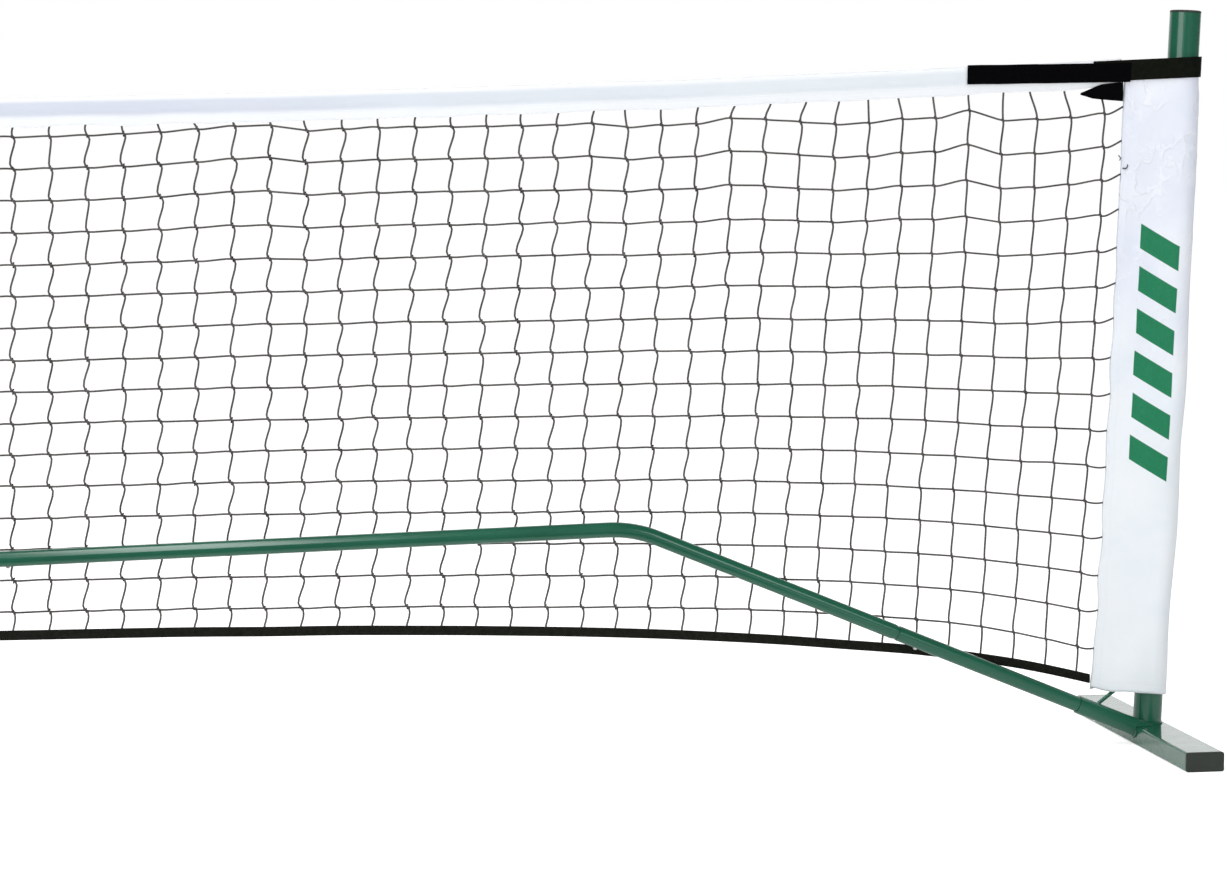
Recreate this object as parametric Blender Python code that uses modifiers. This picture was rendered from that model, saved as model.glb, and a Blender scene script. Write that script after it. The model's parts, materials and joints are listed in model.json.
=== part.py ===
"""Portable pickleball net: two raked posts on rectangular feet, a raised base bar and a net.

X runs along the net, Y across it and Z up, in metres. The floor is Z = 0 and the net's
centre is X = 0. Each end is modelled once, at +X, and the left end mirrors it.
"""

import math

import bmesh
import bpy
from mathutils import Matrix, Vector

# Layout
POST_X = 3.353  # 11 ft from the net's centre to the foot of a post
RAKE = math.radians(2.2)  # the posts lean outward against the pull of the net
TOP_AT_POST = 0.914  # 36 in
TOP_AT_CENTRE = 0.8636  # 34 in
BAND_SAG = 0.039  # droop of the headband between centre rod and post
CLEARANCE = 0.0003  # gap between pieces that touch
SIDES = 24  # facets round a tube

# Feet: 2 x 1 in rectangular steel tube
FOOT_WIDTH, FOOT_HEIGHT, FOOT_LENGTH = 0.0508, 0.0254, 0.445
FOOT_WALL, FOOT_CORNER = 0.0016, 0.003
CAP_FLANGE, CAP_PLUG = 0.003, 0.018

# Posts: heights are along the post, from the foot's top face
STUB_RADIUS, STUB_WALL, STUB_TOP = 0.01905, 0.0015, 0.205
POST_RADIUS, POST_WALL, POST_BOTTOM = 0.02065, 0.0012, 0.082
POST_TOP = 0.9472
POST_CAP = 0.003
POST_BUTTON_HEIGHT = 0.155

# Base bar, in the plane Y = BOW_Y in front of the net
BOW_Y = -0.020
BOW_APEX_X, BOW_APEX_Z, BOW_BEND_RADIUS = 2.6465, 0.3026, 0.16
BOW_SLANT, BOW_FALL = math.radians(22.26), math.radians(1.654)
BAR_RADIUS, BAR_WALL = 0.010, 0.0012
NECK_RADIUS, NECK_LENGTH, NECK_TAPER = 0.0085, 0.060, 0.006
SOCKET_RADIUS, SOCKET_WALL, SOCKET_LENGTH = 0.012, 0.0014, 0.085
LINK_JOINT_X, CORNER_JOINT_X, MID_JOINT_X = 3.000, 1.820, 0.910
TEE_ARM = 0.070

# Snap buttons
BUTTON_PROUD = 0.0022
BUTTON_INSET = 0.030  # from a joint's mouth to its button
BUTTON_RADIUS, POST_BUTTON_RADIUS = 0.0029, 0.0045

# Centre rod
ROD_RADIUS, ROD_WALL, ROD_TOP = 0.006, 0.0012, 0.888
ROD_SOCKET_RADIUS, ROD_SOCKET_TOP = 0.008, 0.300
COLLAR_Z, COLLAR_HEIGHT = 0.812, 0.012

# Net and fabric
BAND_HEIGHT, FABRIC = 0.036, 0.0007
PANEL_THICKNESS, PANEL_INTO_BAND = 0.0012, 0.012
TAPE_Z_CENTRE, TAPE_DROP, TAPE_POWER = 0.181, 0.096, 8
TAPE_HEIGHT, TAPE_END_X = 0.012, 3.2715
BAND_END_X = 3.3015
NET_STATIONS = 40
SLEEVE_REACH = 0.0795  # from the post's axis to the sleeve's edge at the net
SLEEVE_RADIUS, SLEEVE_GAP = 0.0215, 0.002
SLEEVE_BOTTOM, SLEEVE_TOP = 0.045, 0.872
SLEEVE_LOOSE_HEIGHT, SLEEVE_LOOSE = 0.080, 0.0065
STRAP_HEIGHT, STRAP_THICKNESS, STRAP_RADIUS = 0.027, 0.0014, 0.0238
STRAP_START_X, STRAP_REAR_X = 3.091, 3.190
STRAP_START_Z, STRAP_POST_Z = 0.8889, 0.9005
STRAP_FRONT_Y = 0.0036

GREEN = ("powder_green", (0.010, 0.125, 0.065, 1), 0.28, 0.0)
BLACK_PLASTIC = ("black_plastic", (0.020, 0.022, 0.022, 1), 0.5, 0.0)
STEEL = ("button_steel", (0.55, 0.56, 0.57, 1), 0.3, 1.0)
WHITE_FABRIC = ("white_fabric", (0.86, 0.88, 0.93, 1), 0.7, 0.0)
NET_TWINE = ("net_twine", (0.02, 0.02, 0.02, 1), 0.8, 0.0)
BLACK_WEBBING = ("black_webbing", (0.008, 0.008, 0.009, 1), 0.85, 0.0)


def clear_scene():
    for obj in list(bpy.data.objects):
        bpy.data.objects.remove(obj, do_unlink=True)


def new_collection(name):
    collection = bpy.data.collections.new(name)
    bpy.context.scene.collection.children.link(collection)
    return collection


clear_scene()
PARTS = new_collection("pickleball_net")
CUTTERS = new_collection("cutters")
CUTTERS.hide_render = True


def material(spec):
    name, colour, roughness, metallic = spec
    found = bpy.data.materials.get(name)
    if found:
        return found
    made = bpy.data.materials.new(name)
    made.use_nodes = True
    shader = made.node_tree.nodes["Principled BSDF"]
    shader.inputs["Base Color"].default_value = colour
    shader.inputs["Roughness"].default_value = roughness
    shader.inputs["Metallic"].default_value = metallic
    return made


def add(name, data, spec, parent, place=None):
    """A part from a mesh or a curve, in its parent's frame."""
    obj = bpy.data.objects.new(name, data)
    PARTS.objects.link(obj)
    obj.data.materials.append(material(spec))
    obj.parent = parent
    if place is not None:
        obj.matrix_local = place
    return obj


def empty(name, parent=None, place=None):
    obj = bpy.data.objects.new(name, None)
    PARTS.objects.link(obj)
    obj.parent = parent
    if place is not None:
        obj.matrix_local = place
    return obj


def aim(origin, direction):
    """The matrix that puts a piece's origin at a point and its Z axis along a direction."""
    turn = Vector(direction).to_track_quat("Z", "Y")
    return Matrix.Translation(Vector(origin)) @ turn.to_matrix().to_4x4()


def mesh_from(build):
    """A mesh filled by a function that takes a bmesh."""
    shape = bmesh.new()
    build(shape)
    mesh = bpy.data.meshes.new("mesh")
    shape.to_mesh(mesh)
    shape.free()
    return mesh


def smooth(obj, angle=40):
    obj.data.shade_smooth()
    obj.data.set_sharp_from_angle(angle=math.radians(angle))


def turned(name, profile, spec, parent, place, closed=False, steps=SIDES):
    """A turned piece: the profile's (radius, height) points run down its outer side."""
    def build(shape):
        points = [shape.verts.new((radius, 0, height)) for radius, height in profile]
        for first, second in zip(points, points[1:]):
            shape.edges.new((first, second))
        if closed:
            shape.edges.new((points[-1], points[0]))

    obj = add(name, mesh_from(build), spec, parent, place)
    screw = obj.modifiers.new("turn", "SCREW")
    screw.steps = screw.render_steps = steps
    screw.use_merge_vertices = True
    screw.merge_threshold = 0.00001
    screw.use_smooth_shade = True
    return obj


def tube(name, radius, wall, low, high, spec, parent, place):
    """A straight tube, open at both ends, from low to high along its own Z axis."""
    inner = radius - wall
    profile = [(radius, high), (radius, low), (inner, low), (inner, high)]
    return turned(name, profile, spec, parent, place, closed=True)


def necked_tube(name, length, parent, place):
    """A base-bar section whose far end is necked down to slip into the next one."""
    shoulder, tip = length - NECK_TAPER, length + NECK_LENGTH
    outline = [(NECK_RADIUS, tip), (NECK_RADIUS, length), (BAR_RADIUS, shoulder), (BAR_RADIUS, 0)]
    inside = [(radius - BAR_WALL, height) for radius, height in reversed(outline)]
    return turned(name, outline + inside, GREEN, parent, place, closed=True)


def pipe(name, points, radius, wall, parent, scales=None):
    """A bent tube, open at both ends, along a list of points."""
    curve = bpy.data.curves.new("path", "CURVE")
    curve.dimensions = "3D"
    curve.bevel_depth = radius
    curve.bevel_resolution = (SIDES - 4) // 2
    spline = curve.splines.new("POLY")
    spline.points.add(len(points) - 1)
    for index, point in enumerate(points):
        spline.points[index].co = (*point, 1)
        spline.points[index].radius = scales[index] if scales else 1
    guide = bpy.data.objects.new("guide", curve)
    CUTTERS.objects.link(guide)
    graph = bpy.context.evaluated_depsgraph_get()
    mesh = bpy.data.meshes.new_from_object(guide.evaluated_get(graph))
    bpy.data.objects.remove(guide)
    obj = add(name, mesh, GREEN, parent)
    shell = obj.modifiers.new("wall", "SOLIDIFY")
    shell.thickness = wall
    shell.offset = -1
    shell.use_even_offset = True
    smooth(obj)
    return obj


def outline_plate(name, outlines, thickness, spec, parent, place):
    """A flat plate from closed outlines in its own XY plane; a second outline is a hole."""
    curve = bpy.data.curves.new("outline", "CURVE")
    curve.dimensions = "2D"
    curve.fill_mode = "BOTH"
    curve.extrude = thickness / 2
    for outline in outlines:
        spline = curve.splines.new("POLY")
        spline.use_cyclic_u = True
        spline.points.add(len(outline) - 1)
        for point, (x, y) in zip(spline.points, outline):
            point.co = (x, y, 0, 1)
    return add(name, curve, spec, parent, place)


def sheet(name, rows, thickness, spec, parent=None, closed=False):
    """A fabric or spring strip: a grid of points, thickened evenly to both sides."""
    def build(shape):
        grid = [[shape.verts.new(point) for point in row] for row in rows]
        columns = len(rows[0]) if closed else len(rows[0]) - 1
        for upper, lower in zip(grid, grid[1:]):
            for index in range(columns):
                after = (index + 1) % len(rows[0])
                shape.faces.new((upper[index], upper[after], lower[after], lower[index]))

    obj = add(name, mesh_from(build), spec, parent)
    shell = obj.modifiers.new("thickness", "SOLIDIFY")
    shell.thickness = thickness
    shell.offset = 0
    shell.use_even_offset = True
    smooth(obj)
    return obj


def box_mesh(size, centre=(0, 0, 0)):
    place = Matrix.Translation(centre) @ Matrix.Diagonal((*size, 1))
    return mesh_from(lambda shape: bmesh.ops.create_cube(shape, size=1, matrix=place))


def rod_mesh(radius, length, steps=16):
    def build(shape):
        bmesh.ops.create_cone(
            shape, cap_ends=True, segments=steps, radius1=radius, radius2=radius, depth=length
        )

    return mesh_from(build)


def combine(obj, mesh, parent, place, operation="DIFFERENCE"):
    """Cuts a hidden shape from a part, or joins it on."""
    cutter = bpy.data.objects.new(obj.name + "_cutter", mesh)
    CUTTERS.objects.link(cutter)
    cutter.parent = parent
    cutter.matrix_local = place
    cutter.hide_render = True
    cutter.display_type = "WIRE"
    change = obj.modifiers.new(operation.lower(), "BOOLEAN")
    change.operation = operation
    change.object = cutter
    return cutter


def rounded_rectangle(width, height, corner, steps=4):
    points = []
    for quarter in range(4):
        sign_x = 1 if quarter in (0, 3) else -1
        sign_y = 1 if quarter in (0, 1) else -1
        centre_x = sign_x * (width / 2 - corner)
        centre_y = sign_y * (height / 2 - corner)
        for step in range(steps + 1):
            angle = math.radians(90 * (quarter + step / steps))
            points.append((centre_x + corner * math.cos(angle), centre_y + corner * math.sin(angle)))
    return points


# The net's curves


def band_top(x):
    """Height of the headband's top edge: a hanging curve between the centre rod and a post."""
    share = abs(x) / POST_X
    rise = (TOP_AT_POST - TOP_AT_CENTRE) * share
    return TOP_AT_CENTRE + rise - 4 * BAND_SAG * share * (1 - share)


def tape_height(x):
    """Height of the bottom tape's centre: level along the middle, drawn down at the posts."""
    return TAPE_Z_CENTRE - TAPE_DROP * (abs(x) / TAPE_END_X) ** TAPE_POWER


def stations(end, count=NET_STATIONS):
    """Positions along the net, closer together towards the posts, where the tape curves most."""
    return [end * math.sin(math.pi / 2 * (2 * index / count - 1)) for index in range(count + 1)]


def fold_section(half_gap, height, steps=4):
    """The (y, drop) points of a tape folded in half: down one side from the fold to the edge."""
    half_turn = [math.pi * step / steps for step in range(steps + 1)]
    arc = [(half_gap * math.cos(a), half_gap * (1 - math.sin(a))) for a in half_turn]
    return [(half_gap, height)] + arc + [(-half_gap, height)]


# The end frames


def bow_on_slant(distance):
    """A point on the slanted stretch of the bar's axis, measured from the foot's side."""
    foot = bow_foot()
    return foot + distance * Vector((-math.cos(BOW_SLANT), 0, math.sin(BOW_SLANT)))


def bow_foot():
    run = POST_X - FOOT_WIDTH / 2 - BOW_APEX_X
    return Vector((BOW_APEX_X + run, BOW_Y, BOW_APEX_Z - run * math.tan(BOW_SLANT)))


def bow_on_fall(x):
    """A point on the stretch of the bar's axis that falls towards the centre."""
    return Vector((x, BOW_Y, BOW_APEX_Z - (BOW_APEX_X - x) * math.tan(BOW_FALL)))


SLANT_OUT = Vector((math.cos(BOW_SLANT), 0, -math.sin(BOW_SLANT)))
SLANT_DOWN = Vector((-math.sin(BOW_SLANT), 0, -math.cos(BOW_SLANT)))
FALL_OUT = Vector((math.cos(BOW_FALL), 0, math.sin(BOW_FALL)))
FALL_DOWN = Vector((math.sin(BOW_FALL), 0, -math.cos(BOW_FALL)))
LINK_JOINT = (POST_X - FOOT_WIDTH / 2 - LINK_JOINT_X) / math.cos(BOW_SLANT)


def foot(prefix, parent, place):
    """The rectangular foot tube and its two end plugs; its length runs along Y."""
    outer = rounded_rectangle(FOOT_WIDTH, FOOT_HEIGHT, FOOT_CORNER)
    inner = rounded_rectangle(
        FOOT_WIDTH - 2 * FOOT_WALL, FOOT_HEIGHT - 2 * FOOT_WALL, FOOT_CORNER - FOOT_WALL
    )
    along_y = place @ Matrix.Translation((0, 0, FOOT_HEIGHT / 2)) @ Matrix.Rotation(math.pi / 2, 4, "X")
    length = FOOT_LENGTH - 2 * (CAP_FLANGE + CLEARANCE)
    outline_plate(prefix + "foot_tube", [outer, inner], length, GREEN, parent, along_y)
    for end, sign in (("front", 1), ("rear", -1)):
        middle = sign * (FOOT_LENGTH - CAP_FLANGE) / 2
        flange = along_y @ Matrix.Translation((0, 0, middle))
        name = f"{prefix}foot_cap_{end}"
        cap = outline_plate(name, [outer], CAP_FLANGE, BLACK_PLASTIC, parent, flange)
        graph = bpy.context.evaluated_depsgraph_get()
        mesh = bpy.data.meshes.new_from_object(cap.evaluated_get(graph))
        bpy.data.objects.remove(cap)
        mesh.materials.clear()
        shape = bmesh.new()
        shape.from_mesh(mesh)
        bmesh.ops.remove_doubles(shape, verts=shape.verts, dist=0.00001)
        shape.to_mesh(mesh)
        shape.free()
        cap = add(name, mesh, BLACK_PLASTIC, parent, flange)
        inset = 2 * (FOOT_WALL + 2 * CLEARANCE)
        plug = (FOOT_WIDTH - inset, FOOT_HEIGHT - inset, CAP_PLUG)
        centre = (0, 0, -sign * CAP_PLUG / 2)
        combine(cap, box_mesh(plug, centre), parent, flange, "UNION")


def snap_button(name, axis_point, outward, tube_radius, inner_radius, parent, along):
    """A domed button on its spring leaf, inside a base-bar joint. Its Z axis points outward."""
    flange = 0.0038
    seat = math.sqrt(inner_radius**2 - flange**2) - 0.0004
    tip = tube_radius + BUTTON_PROUD
    dome = [
        (BUTTON_RADIUS * math.sin(angle), tip - BUTTON_RADIUS * 0.6 * (1 - math.cos(angle)))
        for angle in (0, math.pi / 8, math.pi / 4, 3 * math.pi / 8, math.pi / 2)
    ]
    profile = dome + [(BUTTON_RADIUS, seat), (flange, seat), (flange, seat - 0.001), (0, seat - 0.001)]
    z = Vector(outward)
    x = Vector(along)
    place = Matrix.Translation(Vector(axis_point)) @ Matrix((x, z.cross(x), z)).transposed().to_4x4()
    button = turned(name, profile, STEEL, parent, place, steps=16)
    leaf = (0.030, 0.006, 0.0006)
    combine(button, box_mesh(leaf, (-0.008, 0, seat - 0.0012)), parent, place, "UNION")


def drill(obj, axis_point, outward, radius, parent):
    """A hole through one wall of a tube, from its axis outward."""
    depth = 0.030
    place = aim(Vector(axis_point) + Vector(outward) * depth / 2, outward)
    combine(obj, rod_mesh(radius, depth), parent, place)


def base_bar(prefix, side):
    """Socket, link, corner, mid and inner sections, and the snap buttons that lock them."""
    level = Matrix.Identity(4)
    socket_mouth = SOCKET_LENGTH
    socket = tube(
        prefix + "bow_socket", SOCKET_RADIUS, SOCKET_WALL, -0.030, SOCKET_LENGTH, GREEN, side,
        aim(bow_on_slant(0), -SLANT_OUT),
    )
    foot_block = (FOOT_WIDTH + 2 * CLEARANCE, FOOT_LENGTH, FOOT_HEIGHT + CLEARANCE + 0.02)
    foot_place = Matrix.Translation((POST_X, 0, (FOOT_HEIGHT + CLEARANCE - 0.02) / 2))
    combine(socket, box_mesh(foot_block), side, foot_place)
    post_clear = STUB_RADIUS + CLEARANCE
    post_block = mesh_from(lambda shape: bmesh.ops.create_cone(
        shape, cap_ends=True, segments=SIDES, radius1=post_clear, radius2=post_clear, depth=0.2
    ))
    combine(socket, post_block, side, post_frame() @ Matrix.Translation((0, 0, 0.05)))
    beyond = box_mesh((0.05, 0.08, 0.1), (POST_X + 0.022, BOW_Y, 0.04))
    combine(socket, beyond, side, level)

    link_start = socket_mouth - NECK_LENGTH
    link = tube(
        prefix + "link_tube", BAR_RADIUS, BAR_WALL, link_start, LINK_JOINT, GREEN, side,
        aim(bow_on_slant(0), -SLANT_OUT),
    )
    corner = corner_tube(prefix + "corner_tube", side)
    mid_end = bow_on_fall(MID_JOINT_X)
    gap = CLEARANCE
    mid = necked_tube(
        prefix + "mid_tube", (CORNER_JOINT_X - MID_JOINT_X) / math.cos(BOW_FALL) - gap,
        side, aim(mid_end, FALL_OUT),
    )
    inner_end = bow_on_fall(TEE_ARM - NECK_LENGTH)
    reach = (MID_JOINT_X - TEE_ARM + NECK_LENGTH) / math.cos(BOW_FALL) - gap
    inner = necked_tube(prefix + "inner_tube", reach, side, aim(inner_end, FALL_OUT))

    neck_inner = NECK_RADIUS - BAR_WALL
    bar_inner = BAR_RADIUS - BAR_WALL
    socket_point = bow_on_slant(socket_mouth - BUTTON_INSET)
    link_point = bow_on_slant(LINK_JOINT - BUTTON_INSET)
    corner_point = bow_on_fall(CORNER_JOINT_X + BUTTON_INSET)
    mid_point = bow_on_fall(MID_JOINT_X + BUTTON_INSET)
    tee_point = bow_on_fall(TEE_ARM - BUTTON_INSET)
    joints = (
        ("socket_button", socket_point, SLANT_DOWN, SOCKET_RADIUS, bar_inner, SLANT_OUT, (socket, link)),
        ("link_button", link_point, SLANT_DOWN, BAR_RADIUS, neck_inner, SLANT_OUT, (link, corner)),
        ("corner_button", corner_point, FALL_DOWN, BAR_RADIUS, neck_inner, FALL_OUT, (corner, mid)),
        ("mid_button", mid_point, FALL_DOWN, BAR_RADIUS, neck_inner, FALL_OUT, (mid, inner)),
        ("tee_button", tee_point, FALL_DOWN, SOCKET_RADIUS, bar_inner, FALL_OUT, (inner,)),
    )
    for name, point, outward, outer, inside, along, tubes in joints:
        snap_button(prefix + name, point, outward, outer, inside, side, along)
        for piece in tubes:
            drill(piece, point, outward, BUTTON_RADIUS + CLEARANCE, side)


def corner_tube(name, side):
    """The section with the bend, necked where it enters the link."""
    turn = BOW_SLANT + BOW_FALL
    tangent = BOW_BEND_RADIUS * math.tan(turn / 2)
    apex = Vector((BOW_APEX_X, BOW_Y, BOW_APEX_Z))
    start = apex + tangent * SLANT_OUT
    centre = start + BOW_BEND_RADIUS * SLANT_DOWN
    tip = bow_on_slant(LINK_JOINT - NECK_LENGTH)
    straight = [tip, bow_on_slant(LINK_JOINT + CLEARANCE), bow_on_slant(LINK_JOINT + NECK_TAPER)]
    necked = NECK_RADIUS / BAR_RADIUS
    scales = [necked, necked, 1]
    bend = []
    arc_steps = 8
    for step in range(arc_steps + 1):
        angle = math.pi / 2 - BOW_SLANT + turn * step / arc_steps
        arm = Vector((math.cos(angle), 0, math.sin(angle)))
        bend.append(centre + BOW_BEND_RADIUS * arm)
    points = straight + bend + [bow_on_fall(CORNER_JOINT_X)]
    scales += [1] * (len(points) - len(scales))
    return pipe(name, points, BAR_RADIUS, BAR_WALL, side, scales)


def post_frame():
    """The raked frame of a post: its origin is on the foot's top face, and Z runs up the post."""
    return Matrix.Translation((POST_X, 0, FOOT_HEIGHT)) @ Matrix.Rotation(RAKE, 4, "Y")


def post(prefix, side):
    """Stub, upright, cap, snap button and spring; the button faces the net, inside the sleeve."""
    raked = empty(prefix + "post_axis", side, post_frame())
    level = Matrix.Identity(4)
    stub = tube(
        prefix + "post_stub", STUB_RADIUS, STUB_WALL, -0.010, STUB_TOP, GREEN, raked, level
    )
    below = box_mesh((0.1, 0.1, 0.1), (0, 0, CLEARANCE - 0.05))
    combine(stub, below, side, Matrix.Translation((POST_X, 0, FOOT_HEIGHT)))
    upright = tube(
        prefix + "upright_tube", POST_RADIUS, POST_WALL, POST_BOTTOM, POST_TOP, GREEN, raked, level
    )
    plug = POST_RADIUS - POST_WALL - CLEARANCE
    low, seat = POST_TOP - 0.014, POST_TOP + CLEARANCE
    top = seat + POST_CAP
    cap = [(0, top), (POST_RADIUS - 0.002, top), (POST_RADIUS, top - 0.001), (POST_RADIUS, seat)]
    cap += [(plug, seat), (plug, low), (0, low)]
    turned(prefix + "upright_cap", cap, BLACK_PLASTIC, raked, level)

    inward = Vector((-1, 0, 0))
    centre = Vector((0, 0, POST_BUTTON_HEIGHT))
    inside = STUB_RADIUS - STUB_WALL
    flange = 0.0065
    flange_top = math.sqrt(inside**2 - flange**2) - 0.0004
    tip = POST_RADIUS + 0.0026
    radius = POST_BUTTON_RADIUS
    profile = [
        (radius * math.sin(angle), tip - radius * 0.5 * (1 - math.cos(angle)))
        for angle in (0, math.pi / 8, math.pi / 4, 3 * math.pi / 8, math.pi / 2)
    ]
    back = flange_top - 0.0012
    profile += [(radius, flange_top), (flange, flange_top), (flange, back), (0, back)]
    turned(prefix + "upright_button", profile, STEEL, raked, aim(centre, inward))
    for piece in (stub, upright):
        drill(piece, centre, inward, radius + CLEARANCE, raked)

    half_width, fold = 0.0045, POST_BUTTON_HEIGHT - 0.045
    end = POST_BUTTON_HEIGHT + 0.005
    reach = back - 0.0008
    legs = [(-reach, end), (-reach, end - 0.012), (-0.004, fold), (0, fold - 0.004)]
    legs += [(0.004, fold), (inside - 0.0015, end - 0.012), (inside - 0.0015, end)]
    rows = [[(x, y, z) for x, z in legs] for y in (-half_width, half_width)]
    sheet(prefix + "upright_spring", rows, 0.0006, STEEL, raked)
    return raked


def gusset(prefix, side):
    """The thin rod from the bow socket's upper rear flank up to the post stub."""
    radius, lateral = 0.0026, 0.0095
    along = 0.0575
    rise = math.sqrt(SOCKET_RADIUS**2 - lateral**2)
    low = bow_on_slant(along) + Vector((0, lateral, 0)) - rise * SLANT_DOWN
    high = Vector((POST_X - STUB_RADIUS, -0.004, 0.0925))
    direction = (high - low).normalized()
    rod = add(prefix + "gusset_rod", rod_mesh(radius, 0.11), GREEN, side, aim((low + high) / 2, direction))
    smooth(rod)
    for clear, length, place in (
        (STUB_RADIUS + CLEARANCE, 0.3, post_frame() @ Matrix.Translation((0, 0, 0.05))),
        (SOCKET_RADIUS + CLEARANCE, 0.3, aim(bow_on_slant(0.06), SLANT_OUT)),
    ):
        combine(rod, rod_mesh(clear, length, SIDES), side, place)
    far_side = box_mesh((0.06, 0.1, 0.2), (0.03, 0, 0.1))
    combine(rod, far_side, side, post_frame())
    below = box_mesh((0.4, 0.1, 0.06), (0, 0, -0.030 + rise * 0.3))
    slant = Matrix.Translation(bow_on_slant(0.06)) @ Matrix.Rotation(BOW_SLANT, 4, "Y")
    combine(rod, below, side, slant)


def teardrop(looseness):
    """The sleeve's cross-section: round the post, then two layers meeting at the net."""
    tangent = math.acos((SLEEVE_RADIUS - SLEEVE_GAP) / SLEEVE_REACH)
    start_y = SLEEVE_GAP
    touch = Vector((SLEEVE_RADIUS * math.cos(math.pi - tangent), SLEEVE_RADIUS * math.sin(tangent)))
    flap = []
    steps = 5
    for step in range(steps):
        share = step / steps
        bulge = looseness * math.sin(math.pi * share)
        x = -SLEEVE_REACH + share * (touch.x + SLEEVE_REACH)
        flap.append((x, start_y + share * (touch.y - start_y) + bulge))
    arc_steps = 14
    around = []
    for step in range(arc_steps + 1):
        angle = (math.pi - tangent) * (1 - 2 * step / arc_steps)
        around.append((SLEEVE_RADIUS * math.cos(angle), SLEEVE_RADIUS * math.sin(angle)))
    return flap + around + [(x, -y) for x, y in reversed(flap)]


def sleeve(prefix, raked):
    heights = [SLEEVE_BOTTOM + SLEEVE_LOOSE_HEIGHT * step / 4 for step in range(5)]
    heights += [SLEEVE_BOTTOM + (SLEEVE_TOP - SLEEVE_BOTTOM) * share for share in (0.4, 0.7, 1)]
    rows = []
    for height in heights:
        share = min(1, (height - SLEEVE_BOTTOM) / SLEEVE_LOOSE_HEIGHT)
        loose = SLEEVE_LOOSE * 0.5 * (1 + math.cos(math.pi * share))
        rows.append([(x, y, height) for x, y in teardrop(loose)])
    sheet(prefix + "side_sleeve", rows, FABRIC, WHITE_FABRIC, raked)


def strap(prefix, side):
    """The webbing strap: along the headband's front, round the post, and back behind it."""
    post_x = POST_X + math.tan(RAKE) * (STRAP_POST_Z - FOOT_HEIGHT)
    bend_x = post_x - SLEEVE_REACH
    reach = math.hypot(SLEEVE_REACH, STRAP_FRONT_Y + 0.0006)
    tilt = math.atan2(STRAP_FRONT_Y + 0.0006, SLEEVE_REACH)
    touch = math.acos(STRAP_RADIUS / reach) - tilt
    path = [(STRAP_START_X, -STRAP_FRONT_Y), (bend_x, -STRAP_FRONT_Y - 0.0006)]
    steps = 16
    for step in range(steps + 1):
        angle = -(math.pi - touch) + 2 * (math.pi - touch) * step / steps
        path.append((post_x + STRAP_RADIUS * math.cos(angle), STRAP_RADIUS * math.sin(angle)))
    path += [(bend_x, STRAP_FRONT_Y + 0.0006), (STRAP_REAR_X, STRAP_FRONT_Y)]
    axis = Vector((math.sin(RAKE), 0, math.cos(RAKE)))
    rows = []
    for half in (STRAP_HEIGHT / 2, -STRAP_HEIGHT / 2):
        row = []
        for x, y in path:
            share = min(1, (x - STRAP_START_X) / (bend_x - STRAP_START_X))
            z = STRAP_START_Z + share * (STRAP_POST_Z - STRAP_START_Z)
            row.append(Vector((x, y, z)) + half * axis)
        rows.append(row)
    sheet(prefix + "end_strap", rows, STRAP_THICKNESS, BLACK_WEBBING, side)
    corners = [(3.2445, 0.8645), (3.2615, 0.8575), (3.3033, 0.8553), (3.3035, 0.8800), (3.2735, 0.8763)]
    upright = Matrix.Translation((0, -STRAP_FRONT_Y, 0)) @ Matrix.Rotation(math.pi / 2, 4, "X")
    outline_plate(prefix + "strap_tab", [corners], STRAP_THICKNESS, BLACK_WEBBING, side, upright)


def end(prefix, sign):
    """One complete end of the frame; the left one is mirrored by its parent."""
    side = empty(prefix + "end", None, Matrix.Diagonal((sign, 1, 1, 1)))
    foot(prefix, side, Matrix.Translation((POST_X, 0, 0)))
    base_bar(prefix, side)
    gusset(prefix, side)
    raked = post(prefix, side)
    sleeve(prefix, raked)
    strap(prefix, side)


# The centre support


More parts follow.
